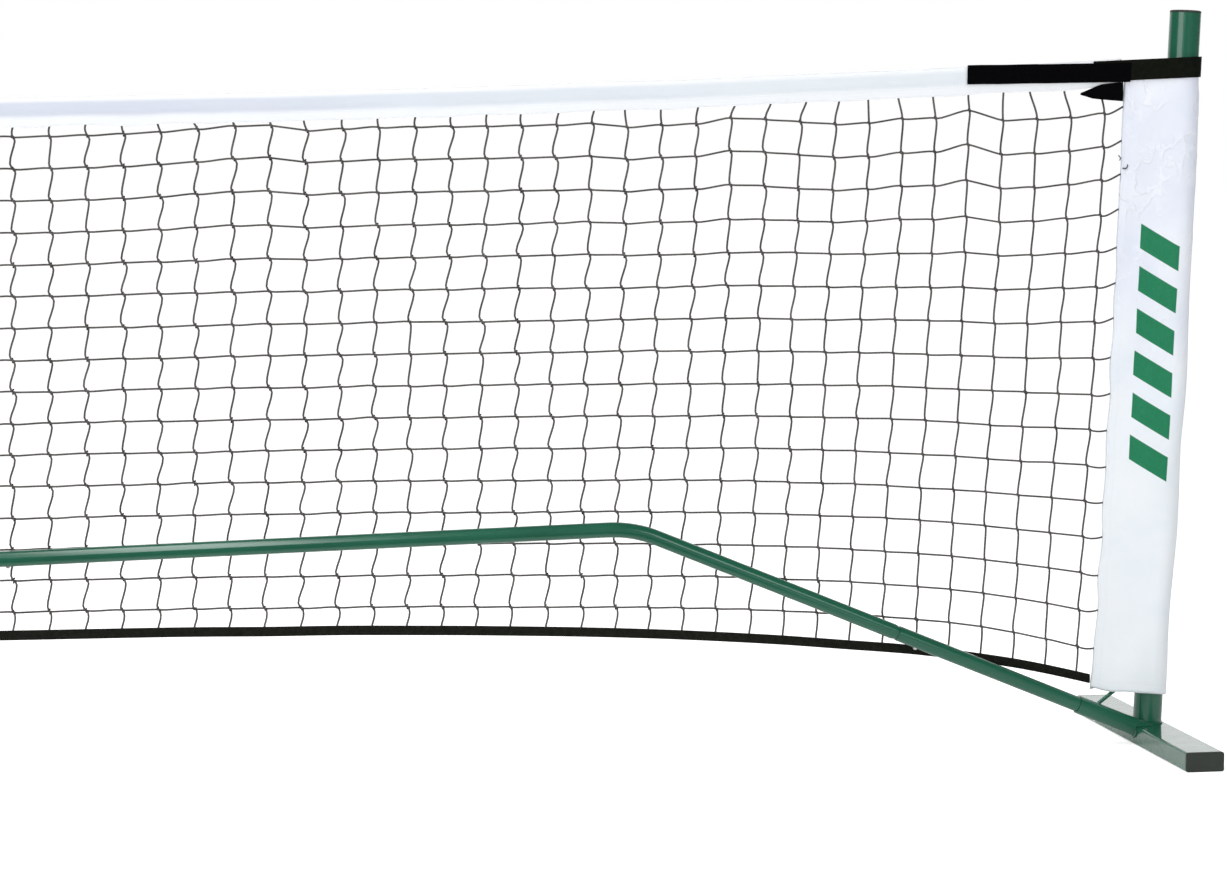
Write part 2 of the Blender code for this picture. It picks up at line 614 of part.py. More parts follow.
def centre():
    level = Matrix.Identity(4)
    foot("centre_", None, level)
    middle = bow_on_fall(0)
    arm = bow_on_fall(TEE_ARM)
    tee = pipe("centre_tee", [(-arm.x, arm.y, arm.z), middle, arm], SOCKET_RADIUS, SOCKET_WALL, None)
    button = bow_on_fall(TEE_ARM - BUTTON_INSET)
    for sign in (1, -1):
        point = Vector((sign * button.x, button.y, button.z))
        outward = Vector((sign * FALL_DOWN.x, 0, FALL_DOWN.z))
        drill(tee, point, outward, BUTTON_RADIUS + CLEARANCE, None)
    on_bar = Matrix.Translation((0, BOW_Y, 0))
    cope = aim(middle, (1, 0, 0))
    cope_mesh = rod_mesh(SOCKET_RADIUS + CLEARANCE, 2 * TEE_ARM + 0.05, SIDES)
    leg = tube(
        "centre_leg", SOCKET_RADIUS, SOCKET_WALL, FOOT_HEIGHT + CLEARANCE, middle.z, GREEN, None, on_bar
    )
    combine(leg, cope_mesh, None, cope)
    socket = tube(
        "rod_socket", ROD_SOCKET_RADIUS, 0.0016, middle.z, ROD_SOCKET_TOP, GREEN, None, on_bar
    )
    combine(socket, cope_mesh, None, cope)
    rod_low = middle.z + SOCKET_RADIUS + 2 * CLEARANCE
    tube("centre_rod", ROD_RADIUS, ROD_WALL, rod_low, ROD_TOP, GREEN, None, on_bar)
    plug = ROD_RADIUS - ROD_WALL - CLEARANCE
    seat, top = ROD_TOP + CLEARANCE, ROD_TOP + 0.006
    cap = [(0, top), (0.006, top), (0.0085, top - 0.002), (0.0085, seat)]
    cap += [(plug, seat), (plug, seat - 0.012), (0, seat - 0.012)]
    turned("rod_cap", cap, BLACK_PLASTIC, None, on_bar)
    tube(
        "rod_collar", 0.0105, 0.0105 - ROD_RADIUS - CLEARANCE, COLLAR_Z, COLLAR_Z + COLLAR_HEIGHT,
        BLACK_PLASTIC, None, on_bar,
    )
    omega_loop("centre_strap", 0.0072, 0.0030, 0.045, band_top(0) - 0.034, band_top(0) - 0.002)
    omega_loop("tape_tie", 0.0132, 0.0035, 0.040, TAPE_Z_CENTRE - 0.006, TAPE_Z_CENTRE + 0.006)


def omega_loop(name, radius, flat_y, reach, low, high):
    """A strap sewn flat to the net's front at both ends, bowed forward round the rod or leg."""
    open_half = math.radians(40)
    path = [(-reach, -flat_y), (-radius * 1.6, -flat_y)]
    steps = 14
    for step in range(steps + 1):
        angle = math.pi / 2 + open_half + (2 * math.pi - 2 * open_half) * step / steps
        path.append((radius * math.cos(angle), BOW_Y + radius * math.sin(angle)))
    path += [(radius * 1.6, -flat_y), (reach, -flat_y)]
    rows = [[(x, y, z) for x, y in path] for z in (high, low)]
    sheet(name, rows, 0.0010, BLACK_WEBBING)


# The net


def net():
    band_half, tape_half = 0.00155, 0.0015
    band = [
        [(x, y, band_top(x) - drop) for y, drop in fold_section(band_half, BAND_HEIGHT)]
        for x in stations(BAND_END_X)
    ]
    sheet("headband", band, FABRIC, WHITE_FABRIC)
    tape = [
        [(x, y, tape_height(x) - TAPE_HEIGHT / 2 + lift)
         for y, lift in fold_section(tape_half, TAPE_HEIGHT)]
        for x in stations(TAPE_END_X)
    ]
    sheet("bottom_tape", tape, FABRIC, BLACK_WEBBING)
    into_sleeve = 0.008
    reach = POST_X - SLEEVE_REACH + into_sleeve
    rows = []
    for share in [index / 6 for index in range(7)]:
        row = []
        for x in stations(1.0):
            limit = reach + math.tan(RAKE) * (0.85 - 0.76 * share - FOOT_HEIGHT)
            top = band_top(x * limit) - PANEL_INTO_BAND
            bottom = tape_height(x * TAPE_END_X) - TAPE_HEIGHT / 2 + 0.0025
            row.append((x * limit, 0, top + share * (bottom - top)))
        rows.append(row)
    sheet("net_panel", rows, PANEL_THICKNESS, NET_TWINE)


end("right_", 1)
end("left_", -1)
centre()
net()
bpy.context.view_layer.update()
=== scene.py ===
"""Looks for the portable pickleball net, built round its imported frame.

Everything is in metres in the frame's own axes: X along the net, Y across it, Z up.
"""

import json
import math

import bpy
import numpy as np
from mathutils import Matrix, Vector


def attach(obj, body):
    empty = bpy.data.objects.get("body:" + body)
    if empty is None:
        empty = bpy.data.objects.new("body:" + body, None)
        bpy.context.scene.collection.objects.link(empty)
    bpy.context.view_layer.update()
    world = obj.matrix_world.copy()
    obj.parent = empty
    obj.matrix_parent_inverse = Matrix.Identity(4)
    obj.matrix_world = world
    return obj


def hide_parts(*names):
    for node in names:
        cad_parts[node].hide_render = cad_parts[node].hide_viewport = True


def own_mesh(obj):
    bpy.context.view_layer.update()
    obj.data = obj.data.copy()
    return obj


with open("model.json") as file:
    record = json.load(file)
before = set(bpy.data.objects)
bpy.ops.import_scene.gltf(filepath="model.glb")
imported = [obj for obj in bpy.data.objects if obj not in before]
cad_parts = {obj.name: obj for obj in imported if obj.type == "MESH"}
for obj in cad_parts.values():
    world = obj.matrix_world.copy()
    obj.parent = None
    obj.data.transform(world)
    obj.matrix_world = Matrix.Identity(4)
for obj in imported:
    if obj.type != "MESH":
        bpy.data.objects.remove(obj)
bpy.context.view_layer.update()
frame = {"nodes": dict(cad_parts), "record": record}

# Sizes shared with the CAD
POST_X, RAKE, FOOT_TOP = 3.353, math.radians(2.2), 0.0254
TOP_AT_POST, TOP_AT_CENTRE, BAND_SAG, BAND_HEIGHT = 0.914, 0.8636, 0.039, 0.036
TAPE_Z_CENTRE, TAPE_DROP, TAPE_POWER, TAPE_HEIGHT, TAPE_END_X = 0.181, 0.096, 8, 0.012, 3.2715
TAPE_LIFT, TAPE_LIFT_X, TAPE_LIFT_REACH = 0.0038, 3.14, 0.16  # a slight rise beside each sleeve
BAND_END_X = 3.3015
BOW_Y, BOW_SLANT = -0.020, math.radians(22.26)
SOCKET_RADIUS, STUB_RADIUS, FOOT_HALF_WIDTH = 0.012, 0.01905, 0.0254
SLEEVE_REACH, SLEEVE_RADIUS, SLEEVE_GAP = 0.0795, 0.0215, 0.002
SLEEVE_BOTTOM, SLEEVE_TOP = 0.045, 0.872
STRAP_LOW = 0.862  # up the post, where the strap's lower edge holds the sleeve in
STRAP_RADIUS, STRAP_FRONT_Y = 0.0238, 0.0036
STRAP_START_X, STRAP_REAR_X = 3.091, 3.190
STRAP_POST_Z = 0.9005

# Netting
TWINE_RADIUS = 0.00140
KNOT_LENGTH, KNOT_RADIUS, KNOT_TURNS = 0.0050, 0.00150, 1.6
PITCH, LAST_COLUMN, COLUMNS, ROWS = 0.04565, 3.2786, 144, 16
# Where the headband hangs unevenly it lifts or drops the mesh: (x, half width, height)
PUCKERS = (
    (2.300, 0.34, 0.0040), (2.155, 0.09, 0.0070), (2.240, 0.03, -0.0055), (2.600, 0.03, 0.0025),
    (2.645, 0.04, -0.0040), (2.740, 0.03, -0.0025), (2.785, 0.045, 0.0070), (2.930, 0.05, -0.0050),
    (3.025, 0.04, 0.0022), (3.092, 0.017, 0.0125), (3.160, 0.05, -0.0030), (3.2786, 0.02, 0.0050),
)
# How far each row is drawn up beside the sleeve, as shares of DRAWN_UP
DRAWN_UP, DRAWN_ROWS, DRAWN_SHARES = 0.0105, (0, 2, 5, 10, 13, 15), (0, 0.75, 1, 0.68, 0.38, -0.25)
STUB_LEAN_FROM = 1.83  # nearer the centre than this, the stubs lean at random
# How far the top stubs lean as they enter the headband: (x, shift)
STUB_LEAN = (
    (1.86, 0.0042), (1.96, 0.0036), (2.00, -0.0020), (2.10, -0.0048), (2.14, 0.0), (2.23, -0.0030),
    (2.32, 0.0010), (2.50, 0.0015), (2.58, 0.0045), (2.65, -0.0040), (2.69, 0.0), (2.78, 0.0070),
    (2.87, 0.0086), (2.93, 0.0050), (2.97, -0.0045), (3.01, -0.0072), (3.09, -0.0014),
    (3.14, 0.0012), (3.19, -0.0125), (3.24, -0.0090), (3.28, -0.0060),
)

# Cloth and webbing
CLOTH, TAPE_CLOTH, WEBBING, HOOK_CLOTH, LOOP_CLOTH = 0.0006, 0.0007, 0.0012, 0.0014, 0.0010
EDGE_ROUNDING = 0.0003
ACROSS_STRAP = np.array((-1.0, -0.96, -0.5, 0.0, 0.5, 0.96, 1.0))  # shares of its half width
# Half of the headband's section: depths below its fold, from the hem's edge up
BAND_DEPTHS = [
    0.0360, 0.0355, 0.0340, 0.0300, 0.0264, 0.0252, 0.0240, 0.0200, 0.0160, 0.0120, 0.0080, 0.0045,
    0.0020, 0.0005,
]
BAND_STATIONS, TAPE_STATIONS, CLOTH_ROWS = 760, 420, 220  # along the band and tape, up a sleeve
STRAP_HALF, HOOK_HALF = 0.0135, 0.01255
# Rows of stitches: down from the headband's fold, in from the sleeve's edge, up from its lower edge
BAND_STITCHES, SLEEVE_STITCHES, SLEEVE_HEM = (0.0252, 0.0338), (0.0035, 0.0105), 0.012
# The sleeve's printed bars: where they lie across it and up it, and how they repeat
PRINT_MIDDLE, PRINT_HALF_WIDTH, PRINT_HEIGHT, PRINT_HALF_HEIGHT = 0.0570, 0.0260, 0.529, 0.1680
PRINT_START, PRINT_STEP, PRINT_SLANT, PRINT_EDGE = 0.305, 0.056, 0.55, 0.0005
# The loose tail of the strap: where its upper and lower edges pass, as (x, z) columns
TAIL_UPPER = (3.2447, 3.2735, 3.3035), (0.8655, 0.8763, 0.8806)
TAIL_LOWER = (3.2447, 3.2616, 3.3035), (0.8640, 0.8592, 0.8556)
# Loose ends of twine at the sleeve's edge: (x, z, heading)
THREAD_STARTS = ((3.2990, 0.7765, 0.7), (3.3030, 0.7690, -0.9), (3.3055, 0.7668, -0.2))
THREAD_LENGTH, THREAD_RADIUS, THREAD_POINTS = 0.0105, 0.00075, 9


# Shapes


def band_top(x):
    """The headband's height: highest at the posts, held up at the centre, drooping between."""
    share = np.abs(x) / POST_X
    rise = (TOP_AT_POST - TOP_AT_CENTRE) * share
    return TOP_AT_CENTRE + rise - 4 * BAND_SAG * share * (1 - share)


def band_sway(x):
    """How far the band wanders across the net."""
    return 0.0006 * waves(0.9, 45, x)


def tape_height(x):
    """The height of the bottom tape's middle line."""
    lift = TAPE_LIFT * np.exp(-(((np.abs(x) - TAPE_LIFT_X) / TAPE_LIFT_REACH) ** 2))
    return TAPE_Z_CENTRE - TAPE_DROP * (np.abs(x) / TAPE_END_X) ** TAPE_POWER + lift


def waves(size, seed, *coords, terms=7):
    """Smooth wandering values of about -1 to 1; size is the distance over which they change."""
    rng = np.random.default_rng(seed)
    total = 0
    for _ in range(terms):
        heading = rng.normal(size=len(coords))
        heading /= np.linalg.norm(heading)
        pace = rng.uniform(0.6, 1.5) * 2 * math.pi / size
        phase = rng.uniform(0, 2 * math.pi)
        total = total + np.sin(pace * sum(c * h for c, h in zip(coords, heading)) + phase)
    return total / math.sqrt(terms)


def smoothstep(low, high, value):
    """0 below low and 1 above high (or the other way round), with a smooth slope between."""
    share = np.clip((value - low) / (high - low), 0, 1)
    return share * share * (3 - 2 * share)


def grid_quads(rows, columns, wrap=False):
    """The faces of a grid of points, closed across each row if wrap is set."""
    across = columns if wrap else columns - 1
    row, column = np.meshgrid(np.arange(rows - 1), np.arange(across), indexing="ij")
    after = (column + 1) % columns
    corners = (row * columns + column, row * columns + after)
    corners += ((row + 1) * columns + after, (row + 1) * columns + column)
    return np.stack(corners, -1).reshape(-1, 4)


def piece(name, points, quads, material, uv=None):
    """A mesh of quads that rides on the frame. uv has one pair for each vertex, in metres."""
    mesh = bpy.data.meshes.new(name)
    points = np.asarray(points, dtype=np.float32).reshape(-1, 3)
    quads = np.asarray(quads, dtype=np.int32)
    mesh.vertices.add(len(points))
    mesh.vertices.foreach_set("co", points.ravel())
    mesh.loops.add(quads.size)
    mesh.loops.foreach_set("vertex_index", quads.ravel())
    mesh.polygons.add(len(quads))
    mesh.polygons.foreach_set("loop_start", np.arange(0, quads.size, 4, dtype=np.int32))
    mesh.update(calc_edges=True)
    if uv is not None:
        layer = mesh.uv_layers.new(name="cut")
        corners = np.asarray(uv, dtype=np.float32).reshape(-1, 2)[quads.ravel()]
        layer.data.foreach_set("uv", corners.ravel())
    mesh.shade_smooth()
    obj = bpy.data.objects.new(name, mesh)
    bpy.context.scene.collection.objects.link(obj)
    obj.data.materials.append(material)
    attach(obj, "frame")
    return obj


def thicken(obj, thickness, edge=0.0):
    """Gives a surface its thickness, evenly to both sides, and rounds its edges by edge."""
    shell = obj.modifiers.new("thickness", "SOLIDIFY")
    shell.thickness = thickness
    shell.offset = 0.0
    if edge:
        bevel = obj.modifiers.new("edge", "BEVEL")
        bevel.width = edge
        bevel.segments = 2
        bevel.angle_limit = math.radians(50)


def rings(paths, radius, sides, reference=(0.0, 1.0, 0.0)):
    """Tube skins round many equal-length paths at once. paths is (count, points, 3)."""
    along = np.gradient(paths, axis=1)
    along /= np.linalg.norm(along, axis=2, keepdims=True)
    first = np.cross(np.asarray(reference), along)
    first /= np.linalg.norm(first, axis=2, keepdims=True)
    second = np.cross(along, first)
    angle = 2 * math.pi * np.arange(sides) / sides
    radius = np.broadcast_to(radius, paths.shape[:2])[:, :, None, None]
    spoke = np.cos(angle)[:, None] * first[:, :, None] + np.sin(angle)[:, None] * second[:, :, None]
    points = (paths[:, :, None] + radius * spoke).reshape(-1, 3)
    count, length = paths.shape[:2]
    one = grid_quads(length, sides, wrap=True)
    quads = (one[None] + (np.arange(count) * length * sides)[:, None, None]).reshape(-1, 4)
    return points, quads


def tubes(name, groups, radius, sides, material, reference=(0.0, 1.0, 0.0)):
    """One piece holding tubes along several groups of paths."""
    points, quads, start = [], [], 0
    for paths in groups:
        skin, faces = rings(np.asarray(paths, dtype=float), radius, sides, reference)
        points.append(skin)
        quads.append(faces + start)
        start += len(skin)
    return piece(name, np.concatenate(points), np.concatenate(quads), material)


def bezier(start, leave, arrive, end, steps):
    """Many cubic curves at once, from start to end, by way of two handle points each."""
    t = np.linspace(0, 1, steps)[:, None]
    a, b, c, d = (p[:, None] for p in (start, leave, arrive, end))
    return (1 - t) ** 3 * a + 3 * t * (1 - t) ** 2 * b + 3 * t * t * (1 - t) * c + t**3 * d


# Materials


def set_range(node, low, high, to_low, to_high):
    for key, number in (("From Min", low), ("From Max", high), ("To Min", to_low), ("To Max", to_high)):
        node.inputs[key].default_value = number


class Paint:
    """A Principled material and short ways to build procedural detail on it."""

    def __init__(self, name, colour, roughness, metallic=0.0, **sockets):
        self.material = bpy.data.materials.new(name)
        self.material.use_nodes = True
        self.tree = self.material.node_tree
        self.shader = self.tree.nodes["Principled BSDF"]
        self.shader.inputs["Base Color"].default_value = (*colour, 1)
        self.shader.inputs["Roughness"].default_value = roughness
        self.shader.inputs["Metallic"].default_value = metallic
        for socket, value in sockets.items():
            self.shader.inputs[socket.replace("_", " ")].default_value = value

    def node(self, kind, **settings):
        made = self.tree.nodes.new("ShaderNode" + kind)
        for key, value in settings.items():
            setattr(made, key, value)
        return made

    def wire(self, source, target):
        self.tree.links.new(source, target)

    def place(self, uv=False):
        """The coordinates: the cut cloth's own, or the object's."""
        if uv:
            return self.node("UVMap", uv_map="cut").outputs["UV"]
        return self.node("TexCoord").outputs["Object"]

    def split(self, coords):
        parts = self.node("SeparateXYZ")
        self.wire(coords, parts.inputs[0])
        return parts.outputs

    def noise(self, scale, detail=2.0, stretch=(1, 1, 1), uv=False):
        mapping = self.node("Mapping")
        mapping.inputs["Scale"].default_value = stretch
        self.wire(self.place(uv), mapping.inputs["Vector"])
        made = self.node("TexNoise")
        made.inputs["Scale"].default_value = scale
        made.inputs["Detail"].default_value = detail
        self.wire(mapping.outputs[0], made.inputs["Vector"])
        return made.outputs["Fac"]

    def math(self, operation, first, second=0.0, third=None):
        """A Math node; each operand is a number or another node's output."""
        made = self.node("Math", operation=operation)
        for socket, value in zip(made.inputs, (first, second, third)):
            if value is None:
                continue
            if isinstance(value, (int, float)):
                socket.default_value = value
            else:
                self.wire(value, socket)
        return made.outputs[0]

    def span(self, value, low, high, to_low=0.0, to_high=1.0, smooth=False):
        """value mapped from low..high to to_low..to_high, and held at both ends."""
        made = self.node("MapRange", interpolation_type="SMOOTHSTEP" if smooth else "LINEAR")
        set_range(made, low, high, to_low, to_high)
        self.wire(value, made.inputs["Value"])
        return made.outputs[0]

    def near(self, value, middle, inner, outer):
        """1 where value is within inner of middle, and 0 beyond outer."""
        away = self.math("ABSOLUTE", self.math("SUBTRACT", value, middle))
        return self.span(away, inner, outer, 1.0, 0.0)

    def mix(self, factor, first, second):
        made = self.node("Mix", data_type="RGBA")
        self.wire(factor, made.inputs[0])
        for socket, value in ((made.inputs[6], first), (made.inputs[7], second)):
            if isinstance(value, tuple):
                socket.default_value = (*value, 1)
            else:
                self.wire(value, socket)
        return made.outputs[2]

    def colour(self, source):
        self.wire(source, self.shader.inputs["Base Color"])

    def roughness(self, source):
        self.wire(source, self.shader.inputs["Roughness"])

    def bump(self, height, depth, strength=1.0):
        """Raises the surface by depth metres where height is 1. Later calls add to earlier ones."""
        made = self.node("Bump")
        made.inputs["Distance"].default_value = depth
        made.inputs["Strength"].default_value = strength
        self.wire(height, made.inputs["Height"])
        normal = self.shader.inputs["Normal"]
        if normal.links:
            self.wire(normal.links[0].from_socket, made.inputs["Normal"])
        self.wire(made.outputs[0], normal)

    def weave(self, period):
        """A plain weave's height, from 0 to 1: threads of the given width over and under."""
        x, y = self.split(self.place(uv=True))[:2]
        pace = math.pi / period
        warp = self.math("ABSOLUTE", self.math("SINE", self.math("MULTIPLY", x, pace)))
        weft = self.math("ABSOLUTE", self.math("SINE", self.math("MULTIPLY", y, pace)))
        turn = self.math("SINE", self.math("MULTIPLY", self.math("ADD", x, y), pace))
        return self.math("ADD", self.math("MULTIPLY", warp, weft), self.math("MULTIPLY", turn, 0.25))

    def stitches(self, across, along, where, period=0.0042, width=0.00045):
        """1 on a row of running stitches at that distance across the cloth."""
        row = self.near(across, where, width * 0.5, width)
        step = self.math("FRACT", self.math("DIVIDE", along, period))
        return self.math("MULTIPLY", row, self.near(step, 0.5, 0.32, 0.40))


def powder_coat(name="powder_coat_green", coat_ior=1.5, coat_roughness=0.17):
    """Gloss powder coat: a faint orange peel, and cloudy where it went on thin."""
    paint = Paint(
        name, (0.014, 0.108, 0.060), 0.4, Specular_IOR_Level=0.08,
        Coat_Weight=1.0, Coat_IOR=coat_ior, Coat_Roughness=coat_roughness,
    )
    cloud = paint.noise(7, 3)
    paint.colour(paint.mix(paint.span(cloud, 0.3, 0.7), (0.0053, 0.084, 0.046), (0.0086, 0.106, 0.059)))
    paint.roughness(paint.span(paint.noise(55, 3), 0.3, 0.7, 0.33, 0.48))
    paint.bump(paint.noise(420, 2), 0.00012, 0.35)
    paint.bump(paint.noise(90, 1), 0.0004, 0.20)
    return paint.material


def plastic():
    """Moulded black plastic with a fine grain."""
    paint = Paint("moulded_plastic", (0.022, 0.027, 0.023), 0.5, Specular_IOR_Level=0.25)
    paint.colour(paint.mix(paint.noise(60, 3), (0.025, 0.030, 0.026), (0.036, 0.043, 0.037)))
    paint.roughness(paint.span(paint.noise(140, 3), 0.3, 0.7, 0.42, 0.6))
    paint.bump(paint.noise(900, 2), 0.00012, 0.4)
    return paint.material


def zinc():
    """Zinc-plated steel, a little uneven."""
    paint = Paint("zinc_plate", (0.56, 0.57, 0.58), 0.28, 1.0)
    paint.colour(paint.mix(paint.noise(220, 2), (0.48, 0.49, 0.50), (0.62, 0.62, 0.62)))
    paint.roughness(paint.span(paint.noise(300, 3), 0.3, 0.7, 0.2, 0.4))
    paint.bump(paint.noise(1500, 2), 0.00005, 0.3)
    return paint.material


def twine():
    """Braided polyester cord, a little dusty and faded in places."""
    paint = Paint("braided_twine", (0.040, 0.038, 0.038), 0.8, Specular_IOR_Level=0.12)
    faded = paint.span(paint.noise(25, 2), 0.3, 0.7)
    paint.colour(paint.mix(faded, (0.060, 0.056, 0.054), (0.115, 0.108, 0.104)))
    paint.bump(paint.noise(1400, 1), 0.0003, 0.7)
    return paint.material


def band_cloth():
    """Coated polyester: a pocket of one bluish layer above a hem that is folded double, with a painted
    highlight along the rounded fold at its top.
    """
    paint = Paint("headband_cloth", (0.8, 0.8, 0.85), 0.6, Specular_IOR_Level=0.2)
    along, across, _ = paint.split(paint.place(uv=True))
    hem = paint.span(across, 0.0200, 0.0275, smooth=True)
    # top is a painted highlight: the rounded fold at the band's upper edge is painted paler, as if it
    # caught the light
    top = paint.span(across, 0.0020, 0.0085, 1.0, 0.0, smooth=True)
    pale = paint.math("MAXIMUM", hem, top)
    from_middle = paint.math("ABSOLUTE", paint.math("SUBTRACT", along, 4.0))
    drift = paint.math("ADD", from_middle, paint.span(paint.noise(3, 2), 0.3, 0.7, -0.25, 0.25))
    tint = paint.mix(paint.span(drift, 2.0, 2.7), (0.594, 0.628, 0.715), (0.695, 0.745, 0.785))
    body = paint.mix(pale, tint, (0.800, 0.825, 0.855))
    upper, lower = (paint.stitches(across, along, row) for row in BAND_STITCHES)
    thread = paint.math("MAXIMUM", upper, lower)
    paint.colour(paint.mix(paint.math("MULTIPLY", thread, 0.5), body, (0.72, 0.73, 0.78)))
    paint.bump(paint.weave(0.0006), 0.00012, 0.5)
    paint.bump(paint.noise(30, 3, (1, 3, 1), uv=True), 0.0012, 0.35)
    paint.bump(thread, 0.0003, 0.5)
    return paint.material


def sleeve_cloth():
    """White coated cloth with sewn edges, painted highlights along its crinkles, and a plain printed
    motif of slanted green bars.
    """
    paint = Paint("sleeve_cloth", (0.8, 0.83, 0.9), 0.55, Specular_IOR_Level=0.2)
    along, height, _ = paint.split(paint.place(uv=True))
    mottle = paint.span(paint.noise(9, 3, uv=True), 0.35, 0.65)
    upper = paint.mix(mottle, (0.655, 0.690, 0.800), (0.745, 0.775, 0.840))
    lower = paint.mix(mottle, (0.735, 0.790, 0.830), (0.790, 0.820, 0.850))
    cloth = paint.mix(paint.span(height, 0.30, 0.75, smooth=True), lower, upper)
    ridge = paint.math("ABSOLUTE", paint.math("SUBTRACT", paint.noise(24, 3, (1.3, 1, 1), uv=True), 0.5))
    # The crinkle ridges: a real bump, and also a painted highlight where they are painted paler below
    crinkle_and_highlight = paint.span(ridge, 0.0, 0.06, 1.0, 0.0, smooth=True)
    patches = paint.span(paint.noise(11, 2, uv=True), 0.42, 0.60)
    patches = paint.math("MULTIPLY", patches, paint.span(height, 0.45, 0.80, 0.25, 1.0))
    crease = paint.math("MULTIPLY", crinkle_and_highlight, patches)
    # Painted highlight: the crinkles are painted paler than the cloth round them, as if their ridges
    # caught the light
    cloth = paint.mix(paint.math("MULTIPLY", crease, 0.55), cloth, (0.810, 0.825, 0.870))
    edge = paint.span(along, 0.010, 0.0125, 1.0, 0.0)
    slant = paint.math("ADD", height, paint.math("MULTIPLY", along, PRINT_SLANT))
    step = paint.math("DIVIDE", paint.math("SUBTRACT", slant, PRINT_START), PRINT_STEP)
    step = paint.math("FRACT", step)
    bar = paint.near(step, 0.5, 0.285, 0.300)
    wide = paint.near(along, PRINT_MIDDLE, PRINT_HALF_WIDTH - PRINT_EDGE, PRINT_HALF_WIDTH)
    tall = paint.near(slant, PRINT_HEIGHT, PRINT_HALF_HEIGHT - PRINT_EDGE, PRINT_HALF_HEIGHT)
    ink = paint.math("MULTIPLY", bar, paint.math("MULTIPLY", wide, tall))
    print_green = paint.mix(paint.noise(300, 2), (0.006, 0.165, 0.070), (0.014, 0.205, 0.095))
    inked = paint.mix(ink, cloth, print_green)
    outer, inner = (paint.stitches(along, height, row) for row in SLEEVE_STITCHES)
    thread = paint.math("MAXIMUM", outer, inner)
    thread = paint.math("MAXIMUM", thread, paint.stitches(height, along, SLEEVE_BOTTOM + SLEEVE_HEM))
    paint.colour(paint.mix(paint.math("MULTIPLY", thread, 0.35), inked, (0.66, 0.68, 0.75)))
    paint.bump(paint.weave(0.0006), 0.00012, 0.5)
    paint.bump(paint.noise(18, 3, (2.2, 1, 1), uv=True), 0.0025, 0.35)
    paint.bump(crease, 0.0020, 0.55)
    paint.bump(thread, 0.0003, 0.5)
    paint.bump(edge, 0.0002, 0.4)
    return paint.material


def webbing(name, dark, light, period):
    """Woven nylon, ribbed across its length."""
    paint = Paint(name, dark, 0.85, Specular_IOR_Level=0.06)
    along, across, _ = paint.split(paint.place(uv=True))
    rib = paint.math("SINE", paint.math("MULTIPLY", along, 2 * math.pi / period))
    row = paint.math("SINE", paint.math("MULTIPLY", across, math.pi / period))
    twill = paint.math("MULTIPLY", rib, row)
    worn = paint.span(paint.noise(160, 3, uv=True), 0.3, 0.7)
    raised = paint.span(twill, -1.0, 1.0)
    paint.colour(paint.mix(paint.math("MULTIPLY", worn, raised), dark, light))
    paint.bump(twill, 0.00025, 0.6)
    paint.bump(paint.noise(700, 2, uv=True), 0.0002, 0.4)
    return paint.material


def hook_tape():
    """The hook face of hook-and-loop tape: a dense bed of tiny hooks that swallows light."""
    paint = Paint("hook_tape", (0.0015, 0.0015, 0.002), 0.95, Specular_IOR_Level=0.02)
    bed = paint.node("TexVoronoi")
    bed.inputs["Scale"].default_value = 900
    paint.wire(paint.place(uv=True), bed.inputs["Vector"])
    paint.colour(paint.mix(bed.outputs["Distance"], (0.0030, 0.0030, 0.0036), (0.0006, 0.0006, 0.0009)))
    paint.bump(bed.outputs["Distance"], 0.0004, 0.8)
    return paint.material


FLOOR_WHITE, FLOOR_DARK = (0.90, 0.90, 0.90), (0.16, 0.16, 0.16)
FLOOR_GLOW, FLOOR_GLOW_SEEN, FLOOR_GLOW_DARK = 0.12, 0.50, 0.10


def studio_white():
    """A pale floor, a little self-lit to stay even into the distance.

    The stretch in front of the bar looks dark in reflections, so that gloss keeps its depth.
    """
    paint = Paint(
        "studio_floor", FLOOR_WHITE, 0.9, Specular_IOR_Level=0.0, Emission_Color=(1, 1, 1, 1)
    )
    rays = paint.node("LightPath").outputs
    x, y, _ = paint.split(paint.place())
    front = paint.span(y, -0.30, -0.12, 1.0, 0.0)
    front = paint.math("MULTIPLY", front, paint.span(x, 2.85, 3.05, 1.0, 0.0))
    dark = paint.math("MULTIPLY", rays["Is Glossy Ray"], front)
    paint.colour(paint.mix(dark, FLOOR_WHITE, FLOOR_DARK))
    glow = paint.math("MULTIPLY_ADD", rays["Is Camera Ray"], FLOOR_GLOW_SEEN, FLOOR_GLOW)
    glow = paint.math("SUBTRACT", glow, paint.math("MULTIPLY", dark, FLOOR_GLOW_DARK))
    paint.wire(glow, paint.shader.inputs["Emission Strength"])
    return paint.material


GREEN, BLACK, STEEL = powder_coat(), plastic(), zinc()
FOOT_GREEN = powder_coat("powder_coat_foot", 1.90, 0.08)
TWINE, BAND, SLEEVE = twine(), band_cloth(), sleeve_cloth()
STRAP = webbing("strap_webbing", (0.0030, 0.0040, 0.0022), (0.0090, 0.0100, 0.0065), 0.0018)
TAPE = webbing("edge_tape", (0.0075, 0.0085, 0.0060), (0.0220, 0.0230, 0.0190), 0.0012)
HOOK = hook_tape()
BY_SLOT = {
    "powder_green": GREEN, "black_plastic": BLACK, "button_steel": STEEL,
    "white_fabric": BAND, "net_twine": TWINE, "black_webbing": STRAP,
}
SHARP_EDGE, WELD_DISTANCE = math.radians(35), 0.00001


